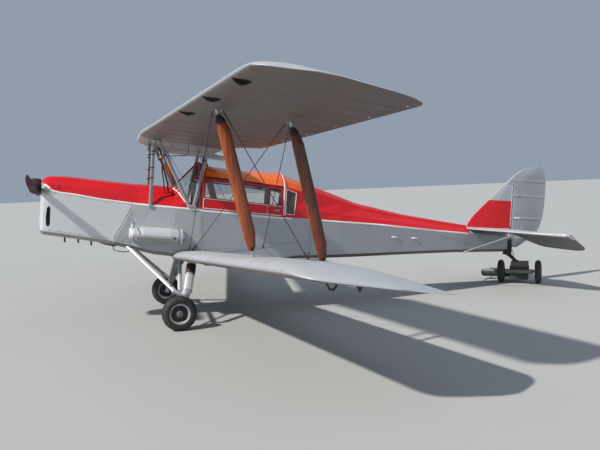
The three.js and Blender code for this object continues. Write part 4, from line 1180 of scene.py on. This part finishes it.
def cabin_inside():
    dials, rims, marks, sticks, pedals, tubes = (Kit() for _ in range(6))
    for y, z, r in DIALS:
        dials.turned([(r, 0.0), (r, 0.003), (r * 0.1, 0.0035)], (0.1, y, z), (-1, 0, 0), 28)
        rims.turned([(r + 0.005, 0.0), (r + 0.005, 0.006), (r + 0.001, 0.008), (r, 0.003)],
                    (0.1, y, z), (-1, 0, 0), 28)
        for t in turns(12):
            my, mz = y + math.cos(t) * r * 0.82, z + math.sin(t) * r * 0.82
            marks.box((0.0955, my - 0.0012, mz - 0.0012), (0.0968, my + 0.0012, mz + 0.0012))
        marks.tube([(0.096, y, z), (0.096, y + r * 0.4, z + r * 0.5)], 0.0012, 6)
    for y in (-0.22, 0.22):
        sticks.tube([(-0.12, y, 0.6), (-0.15, y, 0.8), (-0.21, y, 0.98), (-0.2, y, 1.09)], 0.012, 12)
        sticks.tube([(-0.2, y, 1.03), (-0.195, y, 1.1), (-0.19, y, 1.15)], [0.014, 0.018, 0.015], 14)
    for y in (-0.3, -0.14, 0.14, 0.3):
        pedals.tube([(0.1, y, 0.64), (0.16, y, 0.8)], 0.009, 10)
        pedals.box((0.145, y - 0.045, 0.79), (0.165, y + 0.045, 0.85), 0.004)
    for side in (1, -1):
        y = 0.432 * side
        tubes.tube([(-0.27, y, 1.19), (-0.8, y, 1.165), (-1.33, y, 1.14)], 0.012, 10)
        tubes.tube([(-0.29, y, 0.62), (-0.29, y, 1.19)], 0.011, 10)
        tubes.tube([(-0.29, y, 1.18), (-0.8, y, 0.6), (-1.3, y, 1.13)], 0.011, 10)
    tubes.tube([(-1.3, -0.425, 1.14), (-1.3, 0.425, 1.14)], 0.012, 10)
    for kit, name, finish in ((dials, "dial_faces", "dial_face"), (rims, "dial_rims", "fitting_dark"),
                              (marks, "dial_marks", "white_line"),
                              (sticks, "control_sticks", "fitting_dark"),
                              (pedals, "rudder_pedals", "brown_iron"),
                              (tubes, "cabin_side_tubes", "leather_trim")):
        kit.piece(name, finish)


# Seats: a wooden shell each, with cushions swollen by a cloth run
SEATS = [  # name, half width, middle y, front x, back x, seat z, back top z, floor z
    ("front_seat_port", 0.198, 0.2235, -0.33, -0.76, 0.88, 1.3, 0.5),
    ("front_seat_starboard", 0.198, -0.2235, -0.33, -0.76, 0.88, 1.3, 0.5),
    ("rear_bench", 0.418, 0.0, -1.12, -1.56, 0.9, 1.33, 0.5),
]
SEAT_TILT = math.radians(-4.5)
BACK_LEAN = 0.09
CUSHION_VOXEL = 0.011
CUSHION_CAP = 0.016
CUSHION_PRESSURE = 4
CUSHION_FRAMES = 20
CHANNEL_GAP = 0.079
CHANNEL_DEPTH = 0.009
CHANNEL_HALF = 0.007


def soft_slab(size):
    """A slab whose sides pull in between its corners."""
    lx, ly, lz = size
    work = bmesh.new()
    bmesh.ops.create_cube(work, size=1)
    bmesh.ops.scale(work, vec=(lx - 0.012, ly - 0.012, lz - 0.02), verts=work.verts)
    bmesh.ops.subdivide_edges(work, edges=work.edges, cuts=5, use_grid_fill=True)
    for v in work.verts:
        edge = max(abs(v.co.x) / lx, abs(v.co.y) / ly) * 2
        v.co.z *= 1 - 0.35 * max(0, edge - 0.6)
        v.co.x *= 1 - 0.025 * math.cos(math.pi * v.co.y / ly) * step(abs(v.co.x) / lx, 0.3, 0.5)
        v.co.y *= 1 - 0.02 * math.cos(math.pi * v.co.x / lx) * step(abs(v.co.y) / ly, 0.3, 0.5)
    mesh = bpy.data.meshes.new("slab")
    work.to_mesh(mesh)
    work.free()
    return mesh


def bake(obj):
    """Makes the result of the object's modifiers its mesh."""
    solved = bpy.data.meshes.new_from_object(obj.evaluated_get(bpy.context.evaluated_depsgraph_get()))
    obj.modifiers.clear()
    obj.data = solved


def swell(made):
    """One short cloth run under pressure for all cushions, with its movement capped."""
    for obj, _, _ in made:
        cloth = obj.modifiers.new("cloth", "CLOTH").settings
        cloth.use_pressure = True
        cloth.uniform_pressure_force = CUSHION_PRESSURE
        cloth.effector_weights.gravity = 0
        cloth.quality = 5
    before = [[v.co.copy() for v in obj.data.vertices] for obj, _, _ in made]
    for number in range(1, CUSHION_FRAMES + 1):
        bpy.context.scene.frame_set(number)
    for (obj, _, _), places in zip(made, before):
        bake(obj)
        for v, old in zip(obj.data.vertices, places):
            move = v.co - old
            if move.length > CUSHION_CAP:
                v.co = old + move * (CUSHION_CAP / move.length)
    bpy.context.scene.frame_set(1)


def make_cushions():
    made = []
    for name, half, y, front, back, seat_z, top_z, _ in SEATS:
        seat = (front - back - 0.125, 2 * half, 0.1)
        seat_at = Matrix.Translation((front - seat[0] / 2 - 0.002, y, seat_z - 0.036)) \
            @ Matrix.Rotation(SEAT_TILT, 4, "Y")
        rest = (top_z - seat_z - 0.015, 2 * half, 0.085)
        lean = math.atan2(BACK_LEAN, top_z - seat_z)
        rest_at = Matrix.Translation((back + 0.045, y, (top_z + seat_z) / 2 + 0.004)) \
            @ Matrix.Rotation(math.radians(-90) - lean, 4, "Y")
        for part, size, place in (("cushion", seat, seat_at), ("back", rest, rest_at)):
            obj = link(f"{name}_{part}", soft_slab(size))
            mesher = obj.modifiers.new("mesher", "REMESH")
            mesher.mode = "VOXEL"
            mesher.voxel_size = CUSHION_VOXEL
            bake(obj)
            made.append((obj, size, place))
    swell(made)
    for obj, size, place in made:
        finish_cushion(obj, size, place)


def finish_cushion(obj, size, place):
    """Stitched channels on the outer face, and a welt round the edge."""
    obj.modifiers.new("finer", "SUBSURF").levels = 1
    bake(obj)
    lx, ly, lz = size
    for v in obj.data.vertices:
        if v.co.z > 0.1 * lz:
            away = abs((v.co.y + ly / 2 + CHANNEL_GAP / 2) % CHANNEL_GAP - CHANNEL_GAP / 2)
            inside = 1 - step(abs(v.co.x), lx * 0.38, lx * 0.46)
            v.co.z -= CHANNEL_DEPTH * math.exp(-(away / CHANNEL_HALF) ** 2) * inside
    obj.data.transform(STAND @ place)
    smooth_edges(obj.data, math.radians(80))
    obj.data.materials.clear()
    obj.data.materials.append(M["seat_leather"].material)
    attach(obj, "airframe")
    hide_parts("rear_seat" if obj.name.startswith("rear") else "front_seats")
    ax, ay = lx / 2 - 0.006, ly / 2 - 0.006
    ring = []
    for t in turns(48):
        c, s = math.cos(t), math.sin(t)
        ring.append((math.copysign(abs(c) ** 0.35, c) * ax, math.copysign(abs(s) ** 0.35, s) * ay,
                     lz * 0.22))
    Kit(lambda x, y, z: STAND @ place @ Vector((x, y, z))).tube(ring + ring[:2], 0.0045, 8).piece(
        f"{obj.name}_welt", "leather_trim")


def seat_shells():
    for name, half, y, front, back, seat_z, top_z, floor_z in SEATS:
        kit = Kit().box((back + 0.02, y - half + 0.01, floor_z + 0.012),
                        (front - 0.012, y + half - 0.01, seat_z - 0.092), 0.012)
        lean = Vector((-BACK_LEAN, 0, top_z - seat_z)).normalized()
        foot = Vector((back + 0.035, 0, seat_z - 0.06))
        rings = []
        for k in range(9):
            t = k / 8
            middle = foot + lean * (top_z - seat_z + 0.045) * t
            wide = half - 0.004 - 0.05 * step(t, 0.75, 1.0) ** 2
            rings.append([(middle.x + dx, y + dy * wide, middle.z) for dx, dy in
                          ((0.0, -1), (0.0, 1), (-0.022, 0.985), (-0.03, 0), (-0.022, -0.985))])
        kit.loft(rings).piece(f"{name}_shell", "cabin_lining")


cabin_trim()
cabin_inside()
seat_shells()
make_cushions()


# Strut ends, bindings, wire fittings and the fuel system
STRUT_Y = 2.894
SPARS = (0.16, 0.675)
STRUT_SIZE = [(0, 0.03, 0.02, 0), (0.045, 0.036, 0.022, 0), (0.07, 0.078, 0.034, 0.008),
              (0.16, 0.114, 0.042, 0.018), (0.5, 0.122, 0.046, 0.018), (0.84, 0.114, 0.042, 0.018),
              (0.93, 0.078, 0.034, 0.008), (0.955, 0.036, 0.022, 0), (1, 0.03, 0.02, 0)]
CABANE_Y = 0.456
CABANES = [  # foot, share of the chord at the head, shares of the length with bands
    ((0.356, 0.362, 1.226), 0.125, (0.44, 0.59, 0.785, 0.83)),
    ((-0.123, 0.466, 1.248), 0.165, (0.78,)),
    ((-0.166, 0.468, 1.24), 0.64, (0.78,)),
]


def on_port(point, side):
    """A point given for the port side, on either side."""
    x, y, z = point
    return Vector((x, y * side, z))


def lens_rings(foot, head, rows, grow):
    """Rings of an oval bar from foot to head: rows of share, width, thickness and setback."""
    along = (head - foot).normalized()
    chord = (Vector((1, 0, 0)) - along * along.x).normalized()
    thick = along.cross(chord)
    rings = []
    for share, width, depth, back in rows:
        middle = foot + (head - foot) * share - chord * back
        rings.append([middle + chord * math.cos(t) * (width / 2 + grow)
                      + thick * math.sin(t) * (depth / 2 + grow) for t in turns(20)])
    return rings


def collar(kit, foot, head, low, high, width, depth, grow):
    """A band round an oval bar between two shares of its length."""
    kit.loft(lens_rings(foot, head, [(s, width, depth, 0) for s in (low, high)], grow))


def strut_rows(low, high, count=7):
    """The strut's own size at even steps between two shares of its length."""
    rows = []
    for k in range(count):
        s = low + (high - low) * k / (count - 1)
        a, b = next(r for r in zip(STRUT_SIZE, STRUT_SIZE[1:]) if s <= r[1][0] + 1e-9)
        t = (s - a[0]) / (b[0] - a[0])
        rows.append((s, *[a[i] + (b[i] - a[i]) * t for i in (1, 2, 3)]))
    return rows


def cross_bolt(kit, spot, half, sides):
    kit.tube([spot + Vector((0, d, 0)) for d in (-half, half)], 0.006, sides)


def strut_fittings(side, word):
    feet = [spar_point(LOWER, STRUT_Y, u, True) for u in SPARS]
    heads = [spar_point(UPPER, STRUT_Y, u, False) for u in SPARS]
    wires = [(spar_point(LOWER, 0.492, 0.16, True), heads[0] + Vector((0.028, -0.04, 0))),
             (Vector((-1.089, 0.462, 0.766)), heads[1] + Vector((-0.008, -0.04, 0))),
             (feet[1] + Vector((0.112, 0, 0)), heads[0] + Vector((-0.05, 0, 0))),
             (spar_point(LOWER, 0.492, 0.19, True), heads[1] + Vector((0.024, -0.04, 0)))]
    cups, wraps, ends, plates = Kit(), Kit(), Kit(), Kit()
    for foot, head in zip(feet, heads):
        foot, head = on_port(foot, side), on_port(head, side)
        for low, high in ((0.0, 0.038), (0.966, 1.0)):
            cups.loft(lens_rings(foot, head, strut_rows(low, high), 0.0025))
        for share in (0.012, 0.988):
            cross_bolt(cups, foot + (head - foot) * share, 0.022, 10)
        for low, high, count in ((0.04, 0.066, 7), (0.905, 0.966, 12)):
            wraps.loft(lens_rings(foot, head, strut_rows(low, high, count), 0.0034))
    for low, high in wires:
        low, high = on_port(low, side), on_port(high, side)
        way = (high - low).normalized()
        for start, sense in ((low, 1), (high, -1)):
            path = [start + way * sense * d for d in (0.004, 0.03, 0.034, 0.1, 0.104, 0.17)]
            ends.tube(path, [0.008, 0.008, 0.0062, 0.0075, 0.0062, 0.0055], 10)
        for spot in (low, high):
            plates.turned([(0.012, -0.006), (0.015, -0.004), (0.015, 0.004), (0.012, 0.006)], spot,
                          (0, 1, 0), 14)
    cups.piece(f"strut_cups_{word}", "steel_bright")
    wraps.piece(f"strut_wraps_{word}", "strut_binding", limit=50)
    ends.piece(f"wire_turnbuckles_{word}", "wire_dark")
    plates.piece(f"wire_lugs_{word}", "steel_bright")


def cabane_details(side, word):
    bands, feet = Kit(), Kit()
    for foot, share, spots in CABANES:
        low = on_port(foot, side)
        high = on_port(spar_point(CENTRE_WING, CABANE_Y, share, False), side)
        for s in spots:
            collar(bands, low, high, s - 0.008, s + 0.008, 0.044, 0.026, 0.0035)
        for s0, s1 in ((0.015, 0.055), (0.955, 0.99)):
            collar(feet, low, high, s0, s1, 0.044, 0.026, 0.003)
        for s in (0.03, 0.975):
            cross_bolt(feet, low + (high - low) * s, 0.021, 8)
    bands.piece(f"cabane_bands_{word}", "fitting_dark", limit=50)
    feet.piece(f"cabane_ends_{word}", "steel_bright", limit=50)


def fuel_system():
    Kit().tube([(0.3, 0.3, 1.99), (0.255, 0.3, 1.93), (0.24, 0.3, 1.8), (0.19, 0.3, 1.66),
                (0.15, 0.295, 1.53), (0.14, 0.29, 1.43)], 0.01, 12).tube(
        [(0.27, 0.33, 1.99), (0.235, 0.33, 1.86), (0.23, 0.32, 1.7), (0.2, 0.31, 1.55),
         (0.19, 0.3, 1.42)], 0.008, 12).piece("fuel_pipes", "leather_trim")
    Kit().tube([(0.175, 0.447, 1.874), (0.05, 0.447, 1.886), (-0.065, 0.447, 1.897),
                (-0.071, 0.447, 1.91), (-0.071, 0.447, 2.03)], 0.005, 8).piece("vent_pipe", "wire_dark")
    Kit().turned([(0.012, 0), (0.022, 0.008), (0.022, 0.03), (0.012, 0.04), (0.008, 0.07)],
                 (0.245, 0.3, 1.86), (0, 1, 0.2), 16).piece("fuel_cock", "brass")
    top = spar_point(CENTRE_WING, 0, 0.28, True)
    Kit().turned([(0.058, -0.006), (0.058, 0.004), (0.046, 0.008), (0.044, 0.022), (0.036, 0.028),
                  (0.01, 0.03)], top, (0.1, 0, 1), 32).box(
        (top.x - 0.03, -0.006, top.z + 0.024), (top.x + 0.03, 0.006, top.z + 0.037), 0.003).piece(
        "fuel_cap", "brass")
    seams = Kit()
    for y in (-0.4, -0.13, 0.13, 0.4):
        for upper in (True, False):
            lift = Vector((0, 0, 0.0006 if upper else -0.0006))
            seams.tube([spar_point(CENTRE_WING, y, u, upper) + lift
                        for u in (0.03, 0.08, 0.15, 0.25, 0.4, 0.55, 0.7, 0.79)], 0.003, 6)
    seams.piece("tank_strap_lines", "seam_soft")
    low = spar_point(CENTRE_WING, 0.36, 0.3, False)
    Kit().tube([low + Vector((0, 0, dz)) for dz in (0.01, -0.07)], 0.012, 14).piece(
        "fuel_gauge_glass", "screen_clear")


# Wing fittings: painted shade patches under the leading edge, hinge brackets, horns, drains
LEADING_MARKS = [(2.415, 2.54), (3.2, 3.3), (3.955, 4.015)]  # y at the edge and at the rear corner
MARK_DEPTH = 0.095
MARK_BULGE = 0.19
MARK_OUTER = 0.055
MARK_ROWS = 25
MARK_COLUMNS = 9
HINGES_Y = [2.32, 3.115, 3.91]
DRAINS_Y = [0.62, 1.2, 1.8, 2.4, 3.0, 3.6, 4.15]
HORN_SHAPE = [(-0.05, 0.006), (0.05, 0.006), (0.012, -0.085), (-0.006, -0.085)]
PICKET_RING = [(0, 0), (-0.006, -0.08), (-0.035, -0.128), (-0.075, -0.13), (-0.1, -0.095),
               (-0.088, -0.015)]


def plate(kit, base, outline, half):
    """A flat plate across Y, from its outline in X and Z."""
    kit.loft([[base + Vector((dx, dy, dz)) for dx, dz in outline] for dy in (-half, half)])
    return kit


def leading_slots(side, word):
    """Painted shade: near-black curved patches just under the leading edge."""
    kit = Kit()
    for edge_y, rear_y in LEADING_MARKS:
        flat, faces = [], []
        for k in range(MARK_ROWS):
            t = 0.01 + 0.98 * k / (MARK_ROWS - 1)
            for j in range(MARK_COLUMNS):
                inner = j / (MARK_COLUMNS - 1)
                y = edge_y + (rear_y - edge_y) * t + MARK_OUTER * math.sin(math.pi * t) * (1 - inner)
                y -= MARK_BULGE * t * (1 - t ** 10) * inner
                u = 0.001 + MARK_DEPTH * t
                flat.append(wing_point(UPPER, y * side, u, height(u, False) - 0.0016))
                if k and j:
                    a = (k - 1) * MARK_COLUMNS + j - 1
                    faces.append([a, a + 1, a + MARK_COLUMNS + 1, a + MARK_COLUMNS])
        kit.add(flat, faces)
    dark = kit.piece(f"leading_slots_{word}", "slot_painted_shade")
    dark.modifiers.new("solid", "SOLIDIFY").thickness = 0.0015


def wing_fittings(side, word):
    leading_slots(side, word)
    brackets, drains = Kit(), Kit()
    for y in HINGES_Y:
        low = spar_point(LOWER, y * side, AILERON_HINGE - 0.045, False)
        brackets.box(low + Vector((-0.045, -0.008, -0.012)), low + Vector((0.045, 0.008, 0.004)), 0.003)
    brackets.piece(f"aileron_brackets_{word}", "wire_dark")
    plate(Kit(), spar_point(LOWER, 3.16 * side, 0.84, False), HORN_SHAPE, 0.004).piece(
        f"aileron_horn_{word}", "wire_dark", f"aileron_{word}_body")
    foot = Vector((-1.13, STRUT_Y * side, 0.712))
    Kit().tube([foot + Vector((dx, 0, dz)) for dx, dz in PICKET_RING], 0.012, 12).box(
        foot + Vector((-0.11, -0.02, -0.028)), foot + Vector((0.02, 0.02, -0.006)), 0.004).piece(
        f"wing_picket_ring_{word}", "wire_dark")
    for y in DRAINS_Y:
        for wing in (UPPER, LOWER):
            if wing is LOWER and AILERON_INNER < y < AILERON_OUTER:
                continue
            drains.turned([(0.013, 0.001), (0.013, -0.0012), (0.006, -0.003), (0.001, -0.003)],
                          spar_point(wing, y * side, 0.955 if y > 0.9 else 0.78, False), (0, 0, 1), 16)
    drains.piece(f"drain_eyelets_{word}", "white_line")
    Kit().tube([spar_point(LOWER, 0.478 * side, u, True) + Vector((0, 0, 0.002))
                for u in (0.005, 0.03, 0.08, 0.15, 0.3, 0.45, 0.6, 0.75, 0.86)], 0.007, 8).piece(
        f"wing_root_strip_{word}", "silver_plywood")


# Nose and body: pipes, fasteners, vents, battens and the oil tank's fittings
BODY_STUDS = [  # name, path, gap, radius, finish
    ("cowl_fasteners", [(x, z - 0.034) for x, z in CHEAT_LINE[3:8]], 0.125, 0.0065, "steel_bright"),
    ("cowl_seam_screws", [(0.585, 1.235), (0.838, 0.735)], 0.085, 0.0045, "seam_soft"),
    ("cowl_foot_screws", [(1.6, 0.905), (0.88, 0.828)], 0.12, 0.0045, "seam_soft"),
    ("body_rivets", [(0.46, 1.235), (-0.22, 1.205)], 0.1, 0.0035, "seam_soft"),
]
BODY_STRIPS = [  # name, path, width, finish, lift
    ("cowl_foot_line_{}", [(1.615, 0.893), (0.845, 0.812)], 0.004, "seam_soft", 0.0007),
    ("deck_vent_{}_0", [(1.436, 1.392), (1.436, 1.446)], 0.007, "leather_trim", 0.002),
    ("deck_vent_{}_1", [(1.452, 1.392), (1.452, 1.446)], 0.007, "leather_trim", 0.002),
    ("deck_joint_{}", [(0.527, 1.285), (0.527, 1.46)], 0.004, "leather_trim", 0.0007),
    ("body_batten_{}", [(-0.285, 1.17), (-0.3, 0.78)], 0.007, "seam_soft", 0.0004),
    ("body_tape_{}", [(-1.72, 1.13), (-1.72, 0.7)], 0.035, "silver_fabric", 0.0006),
]


def nose_details():
    pipes = Kit()
    for x, z in ((1.359, 0.752), (1.201, 0.75), (1.046, 0.724)):
        pipes.tube([(x, 0.13, 0.8), (x, 0.13, z), (x - 0.012, 0.13, z - 0.014)],
                   [0.011, 0.011, 0.009], 12)
    pipes.tube([(0.793, 0.2, 0.735), (0.77, 0.2, 0.668), (0.719, 0.2, 0.651), (0.65, 0.2, 0.645),
                (0.59, 0.2, 0.652), (0.57, 0.2, 0.7)], 0.0055, 10)
    pipes.piece("drain_pipes", "fitting_dark")
    for side, word in SIDES:
        for name, path, gap, radius, finish in BODY_STUDS:
            studs(f"{name}_{word}", split_path(path, gap, 0.5), radius, finish, side)
        for name, path, width, finish, lift in BODY_STRIPS:
            side_strip(name.format(word), path, width, finish, side, lift)


def oil_tank_details():
    Kit().turned([(0.028, 0), (0.028, 0.012), (0.022, 0.02), (0.004, 0.022)], (0.562, 0.512, 1.019),
                 (0, 0, 1), 24).box((0.545, 0.509, 1.036), (0.579, 0.515, 1.046), 0.002).piece(
        "oil_filler_cap", "steel_bright")
    straps = Kit()
    for x in (0.525, -0.02):
        top = 0.98 - (0.6 - x) * 0.016
        low = 0.812 - (0.6 - x) * 0.04
        path = [(0.452, top + 0.004), (0.56, top + 0.003), (0.597, top - 0.022), (0.6035, top - 0.06),
                (0.6035, low + 0.05), (0.592, low + 0.012), (0.54, low - 0.003)]
        straps.loft([[(x + dx, y + dy, z) for dx, dy in ((-0.011, 0), (0.011, 0), (0.011, 0.0022),
                                                         (-0.011, 0.0022))] for y, z in path])
    straps.piece("tank_straps", "silver_metal")
    Kit().turned([(0.014, 0), (0.014, 0.01), (0.008, 0.014)], (0.06, 0.5995, 0.86), (0, 1, 0), 6).piece(
        "tank_drain_plug", "fitting_dark")


# Undercarriage details
LEG = (-0.176, 0.498, 0.59), (-0.094, 0.849, 0.24)
FRONT_STAY = (0.618, 0.235, 0.734), (0.054, 0.848, 0.246)
BRAKE_PIPE = [(-0.15, 0.6, 0.47), (-0.05, 0.8, 0.28), (-0.045, 0.84, 0.15), (-0.03, 0.845, 0.06)]


def gear_details(side, word):
    leg = [on_port(p, side) for p in LEG]
    stay = [on_port(p, side) for p in FRONT_STAY]
    rows = [(s, 0.11, 0.056, 0) for s in (0.16, 0.2, 0.3, 0.4, 0.44)]
    Kit().loft(lens_rings(*leg, rows, 0.005)).piece(f"leg_gaiter_{word}", "brown_iron", limit=60)
    clips = Kit()
    for s in (0.07, 0.9):
        collar(clips, *stay, s, s + 0.018, 0.058, 0.034, 0.004)
    for s in (0.46, 0.96):
        collar(clips, *leg, s, s + 0.02, 0.11, 0.056, 0.004)
    clips.piece(f"gear_clips_{word}", "steel_bright", limit=60)
    Kit().tube([on_port(p, side) for p in BRAKE_PIPE], 0.0045, 8).piece(
        f"brake_pipe_{word}", "fitting_dark")


both_sides(strut_fittings)
both_sides(cabane_details)
fuel_system()
both_sides(wing_fittings)
nose_details()
oil_tank_details()
both_sides(gear_details)


# Tail details: straps, hinge lines, cables and their exits, horns, the skid's wound cord
CABLES = [  # path, radius, sides
    ([(-3.36, 0.262, 0.958), (-4.2, 0.178, 0.955), (-4.93, 0.098, 0.952)], 0.0018, 8),
    ([(-3.03, 0.3, 0.963), (-4.1, 0.2, 1.02), (-4.93, 0.098, 1.03)], 0.0018, 8),
    ([(-4.93, 0.052, 0.952), (-4.93, 0.104, 0.952)], 0.006, 10),
    ([(-4.93, 0.052, 1.03), (-4.93, 0.104, 1.03)], 0.006, 10),
    ([(-0.263, 0.484, 0.701), (-1.549, 0.476, 0.859)], 0.003, 8),
    ([(-0.263, 0.455, 0.701), (-0.263, 0.49, 0.701)], 0.006, 10),
    ([(-1.549, 0.455, 0.859), (-1.549, 0.49, 0.859)], 0.006, 10),
]
TAIL_STRUT = (-4.236, 0.178, 0.77), (-4.7, 0.76, 1.087)
ELEVATOR_HORN = [(-0.05, -0.03), (0.01, -0.012), (-0.045, 0.085), (-0.06, 0.085)]


def tail_side(side, word):
    rudder_tree = tree_of([bpy.data.objects["rudder_skin"]])
    side_strip(f"rudder_strap_{word}", [(-5.185, 1.315), (-5.31, 1.315)], 0.032, "rudder_strap", side,
               0.0015, "rudder_body", rudder_tree)
    side_strip(f"rudder_strap_high_{word}", [(-5.185, 1.655), (-5.27, 1.655)], 0.026, "seam_soft", side,
               0.0015, "rudder_body", rudder_tree)
    side_strip(f"fin_post_line_{word}", [(-5.118, 1.17), (-5.118, 1.795)], 0.009, "white_line", side,
               0.001, "airframe", tree_of([bpy.data.objects["fin_skin"]]))
    exits, cables, clips = world_kit(), Kit(), Kit()
    for x, z in ((-3.00, 0.963), (-3.33, 0.958)):
        place, out = on_side(x, z, side)
        back = (at(x - 1, 0, z) - at(x, 0, z)).normalized()
        path = [place + back * d + out * 0.001 for d in (-0.035, -0.025, 0.0, 0.03, 0.06, 0.075)]
        exits.tube(path, [0.002, 0.01, 0.016, 0.012, 0.006, 0.002], 12, 0.8)
    for path, radius, sides in CABLES:
        cables.tube([on_port(p, side) for p in path], radius, sides)
    for s0, s1 in ((0.02, 0.07), (0.93, 0.97)):
        collar(clips, *[on_port(p, side) for p in TAIL_STRUT], s0, s1, 0.034, 0.018, 0.003)
    exits.piece(f"cable_exits_{word}", "white_line")
    cables.piece(f"control_cables_{word}", "steel_bright")
    clips.piece(f"tail_strut_clips_{word}", "steel_bright", limit=60)


def skid_details():
    cords, bolts = Kit(), Kit()
    for k in range(12):
        z = 0.752 + 0.018 * k
        middle, half = (-5.104, 0.05) if z < 0.84 else (-5.09, 0.04)
        cords.loft([[(middle + math.cos(t) * half * share, math.sin(t) * 0.033 * share, z + d)
                     for t in turns(24)] for d, share in
                    ((-0.009, 0.8), (-0.005, 0.97), (0.0, 1.0), (0.005, 0.97), (0.009, 0.8))])
    for side in (1, -1):
        for k in range(14):
            z = 0.748 + 0.0165 * k
            back = -5.158 if z < 0.9 else -5.148
            cords.tube([on_port(p, side) for p in (
                (-5.062, 0.036, z), (-5.08, 0.0405, z + 0.002), (back + 0.016, 0.0405, z + 0.004),
                (back, 0.036, z + 0.005))], 0.0088, 10)
    for x, z in ((-5.02, 0.93), (-5.045, 0.84), (-5.03, 1.0)):
        bolts.tube([(x, -0.062, z), (x, 0.062, z)], 0.008, 8)
    cords.piece("skid_bungee", "bungee", limit=80)
    bolts.piece("skid_post_bolts", "steel_bright")
    Kit().tube([(-5.165, 0, 0.835), (-5.195, 0, 0.815), (-5.225, 0, 0.765), (-5.235, 0, 0.715)],
               0.009, 12).piece("skid_link", "white_line")


def elevator_horns():
    kit = Kit()
    for side in (1, -1):
        plate(kit, Vector((-5.075, 0.3 * side, TAIL_Z)), ELEVATOR_HORN, 0.003)
    kit.piece("elevator_horns", "steel_bright", "elevator_body")


# Tail trolley: wheels with tyres and hubs
TROLLEY_WHEELS = [("left", (-3.50585, 0.156, 0.18)), ("right", (-3.09265, -0.216, 0.18))]
TROLLEY_AXIS = Vector((0.743145, -0.669131, 0))
# Values of tyre_profile, then profiles of radius and distance along the axle
TROLLEY_TYRE = ((0.095, 0.03), 0.1385, 0.0415, 0.043, 0.0415, 0.7, 20)
TROLLEY_BOLT_CIRCLE = 0.05
TROLLEY_HUB = [(0.014, 0.012), (0.014, 0.036), (0.028, 0.036), (0.034, 0.02), (0.07, 0.014),
               (0.092, 0.022), (0.1, 0.033), (0.097, 0.01)]
TROLLEY_BOLT = [(0.006, 0.014), (0.006, 0.023), (0.003, 0.025)]


def trolley():
    tyre = tyre_profile(*TROLLEY_TYRE)
    across = TROLLEY_AXIS.cross(Vector((0, 0, 1))).normalized()
    other = TROLLEY_AXIS.cross(across)
    for word, centre in TROLLEY_WHEELS:
        body = f"dolly_wheel_{word}_body"
        world_kit().turned(tyre, centre, TROLLEY_AXIS, 48, True).piece(
            f"trolley_tyre_{word}", "tyre_rubber", body, 40, "tyre_rubber", f"dolly_wheel_{word}")
        hub = world_kit()
        for face in (1, -1):
            hub.turned(facing(TROLLEY_HUB, face), centre, TROLLEY_AXIS, 40, True)
            for t in turns(5):
                out = across * math.cos(t) + other * math.sin(t)
                spot = Vector(centre) + out * TROLLEY_BOLT_CIRCLE
                hub.turned(facing(TROLLEY_BOLT, face), spot, TROLLEY_AXIS, 6)
        hub.piece(f"trolley_hub_{word}", "dolly_beam", body, 40)


both_sides(tail_side)
elevator_horns()
skid_details()
trolley()


# Floor, light and the plain world
FLOOR_HALF = 160
SKY_COLOR = (0.7, 0.82, 1.0, 1)
SKY_STRENGTH = 0.41
LAMPS = [  # name, place, power, width in degrees, colour
    ("key", SUN_FROM, 3.9, 2.0, (1, 0.97, 0.92)),
    ("fill", (-4, 9, 5), 0.22, 60, (0.92, 0.96, 1)),
]


def stage():
    mesh = bpy.data.meshes.new("floor")
    corners = [(x * FLOOR_HALF, y * FLOOR_HALF, 0) for x, y in ((-1, -1), (1, -1), (1, 1), (-1, 1))]
    mesh.from_pydata(corners, [], [[0, 1, 2, 3]])
    paint = Paint("floor_pale", (0.45, 0.45, 0.437), 0.8)
    paint.mottle(0.4, (0.42, 0.42, 0.407), 0.4)
    mesh.materials.append(paint.material)
    floor = link("floor", mesh)
    world = bpy.data.worlds.new("studio")
    world.use_nodes = True
    sky = world.node_tree.nodes["Background"].inputs
    sky[0].default_value = SKY_COLOR
    sky[1].default_value = SKY_STRENGTH
    bpy.context.scene.world = world
    for name, place, power, width, color in LAMPS:
        data = bpy.data.lights.new(name, "SUN")
        data.energy = power
        data.color = color
        data.angle = math.radians(width)
        lamp = link(name, data)
        lamp.location = place
        lamp.rotation_euler = (-Vector(place)).to_track_quat("-Z", "Y").to_euler()
    bpy.context.scene.view_settings.view_transform = "Standard"


stage()
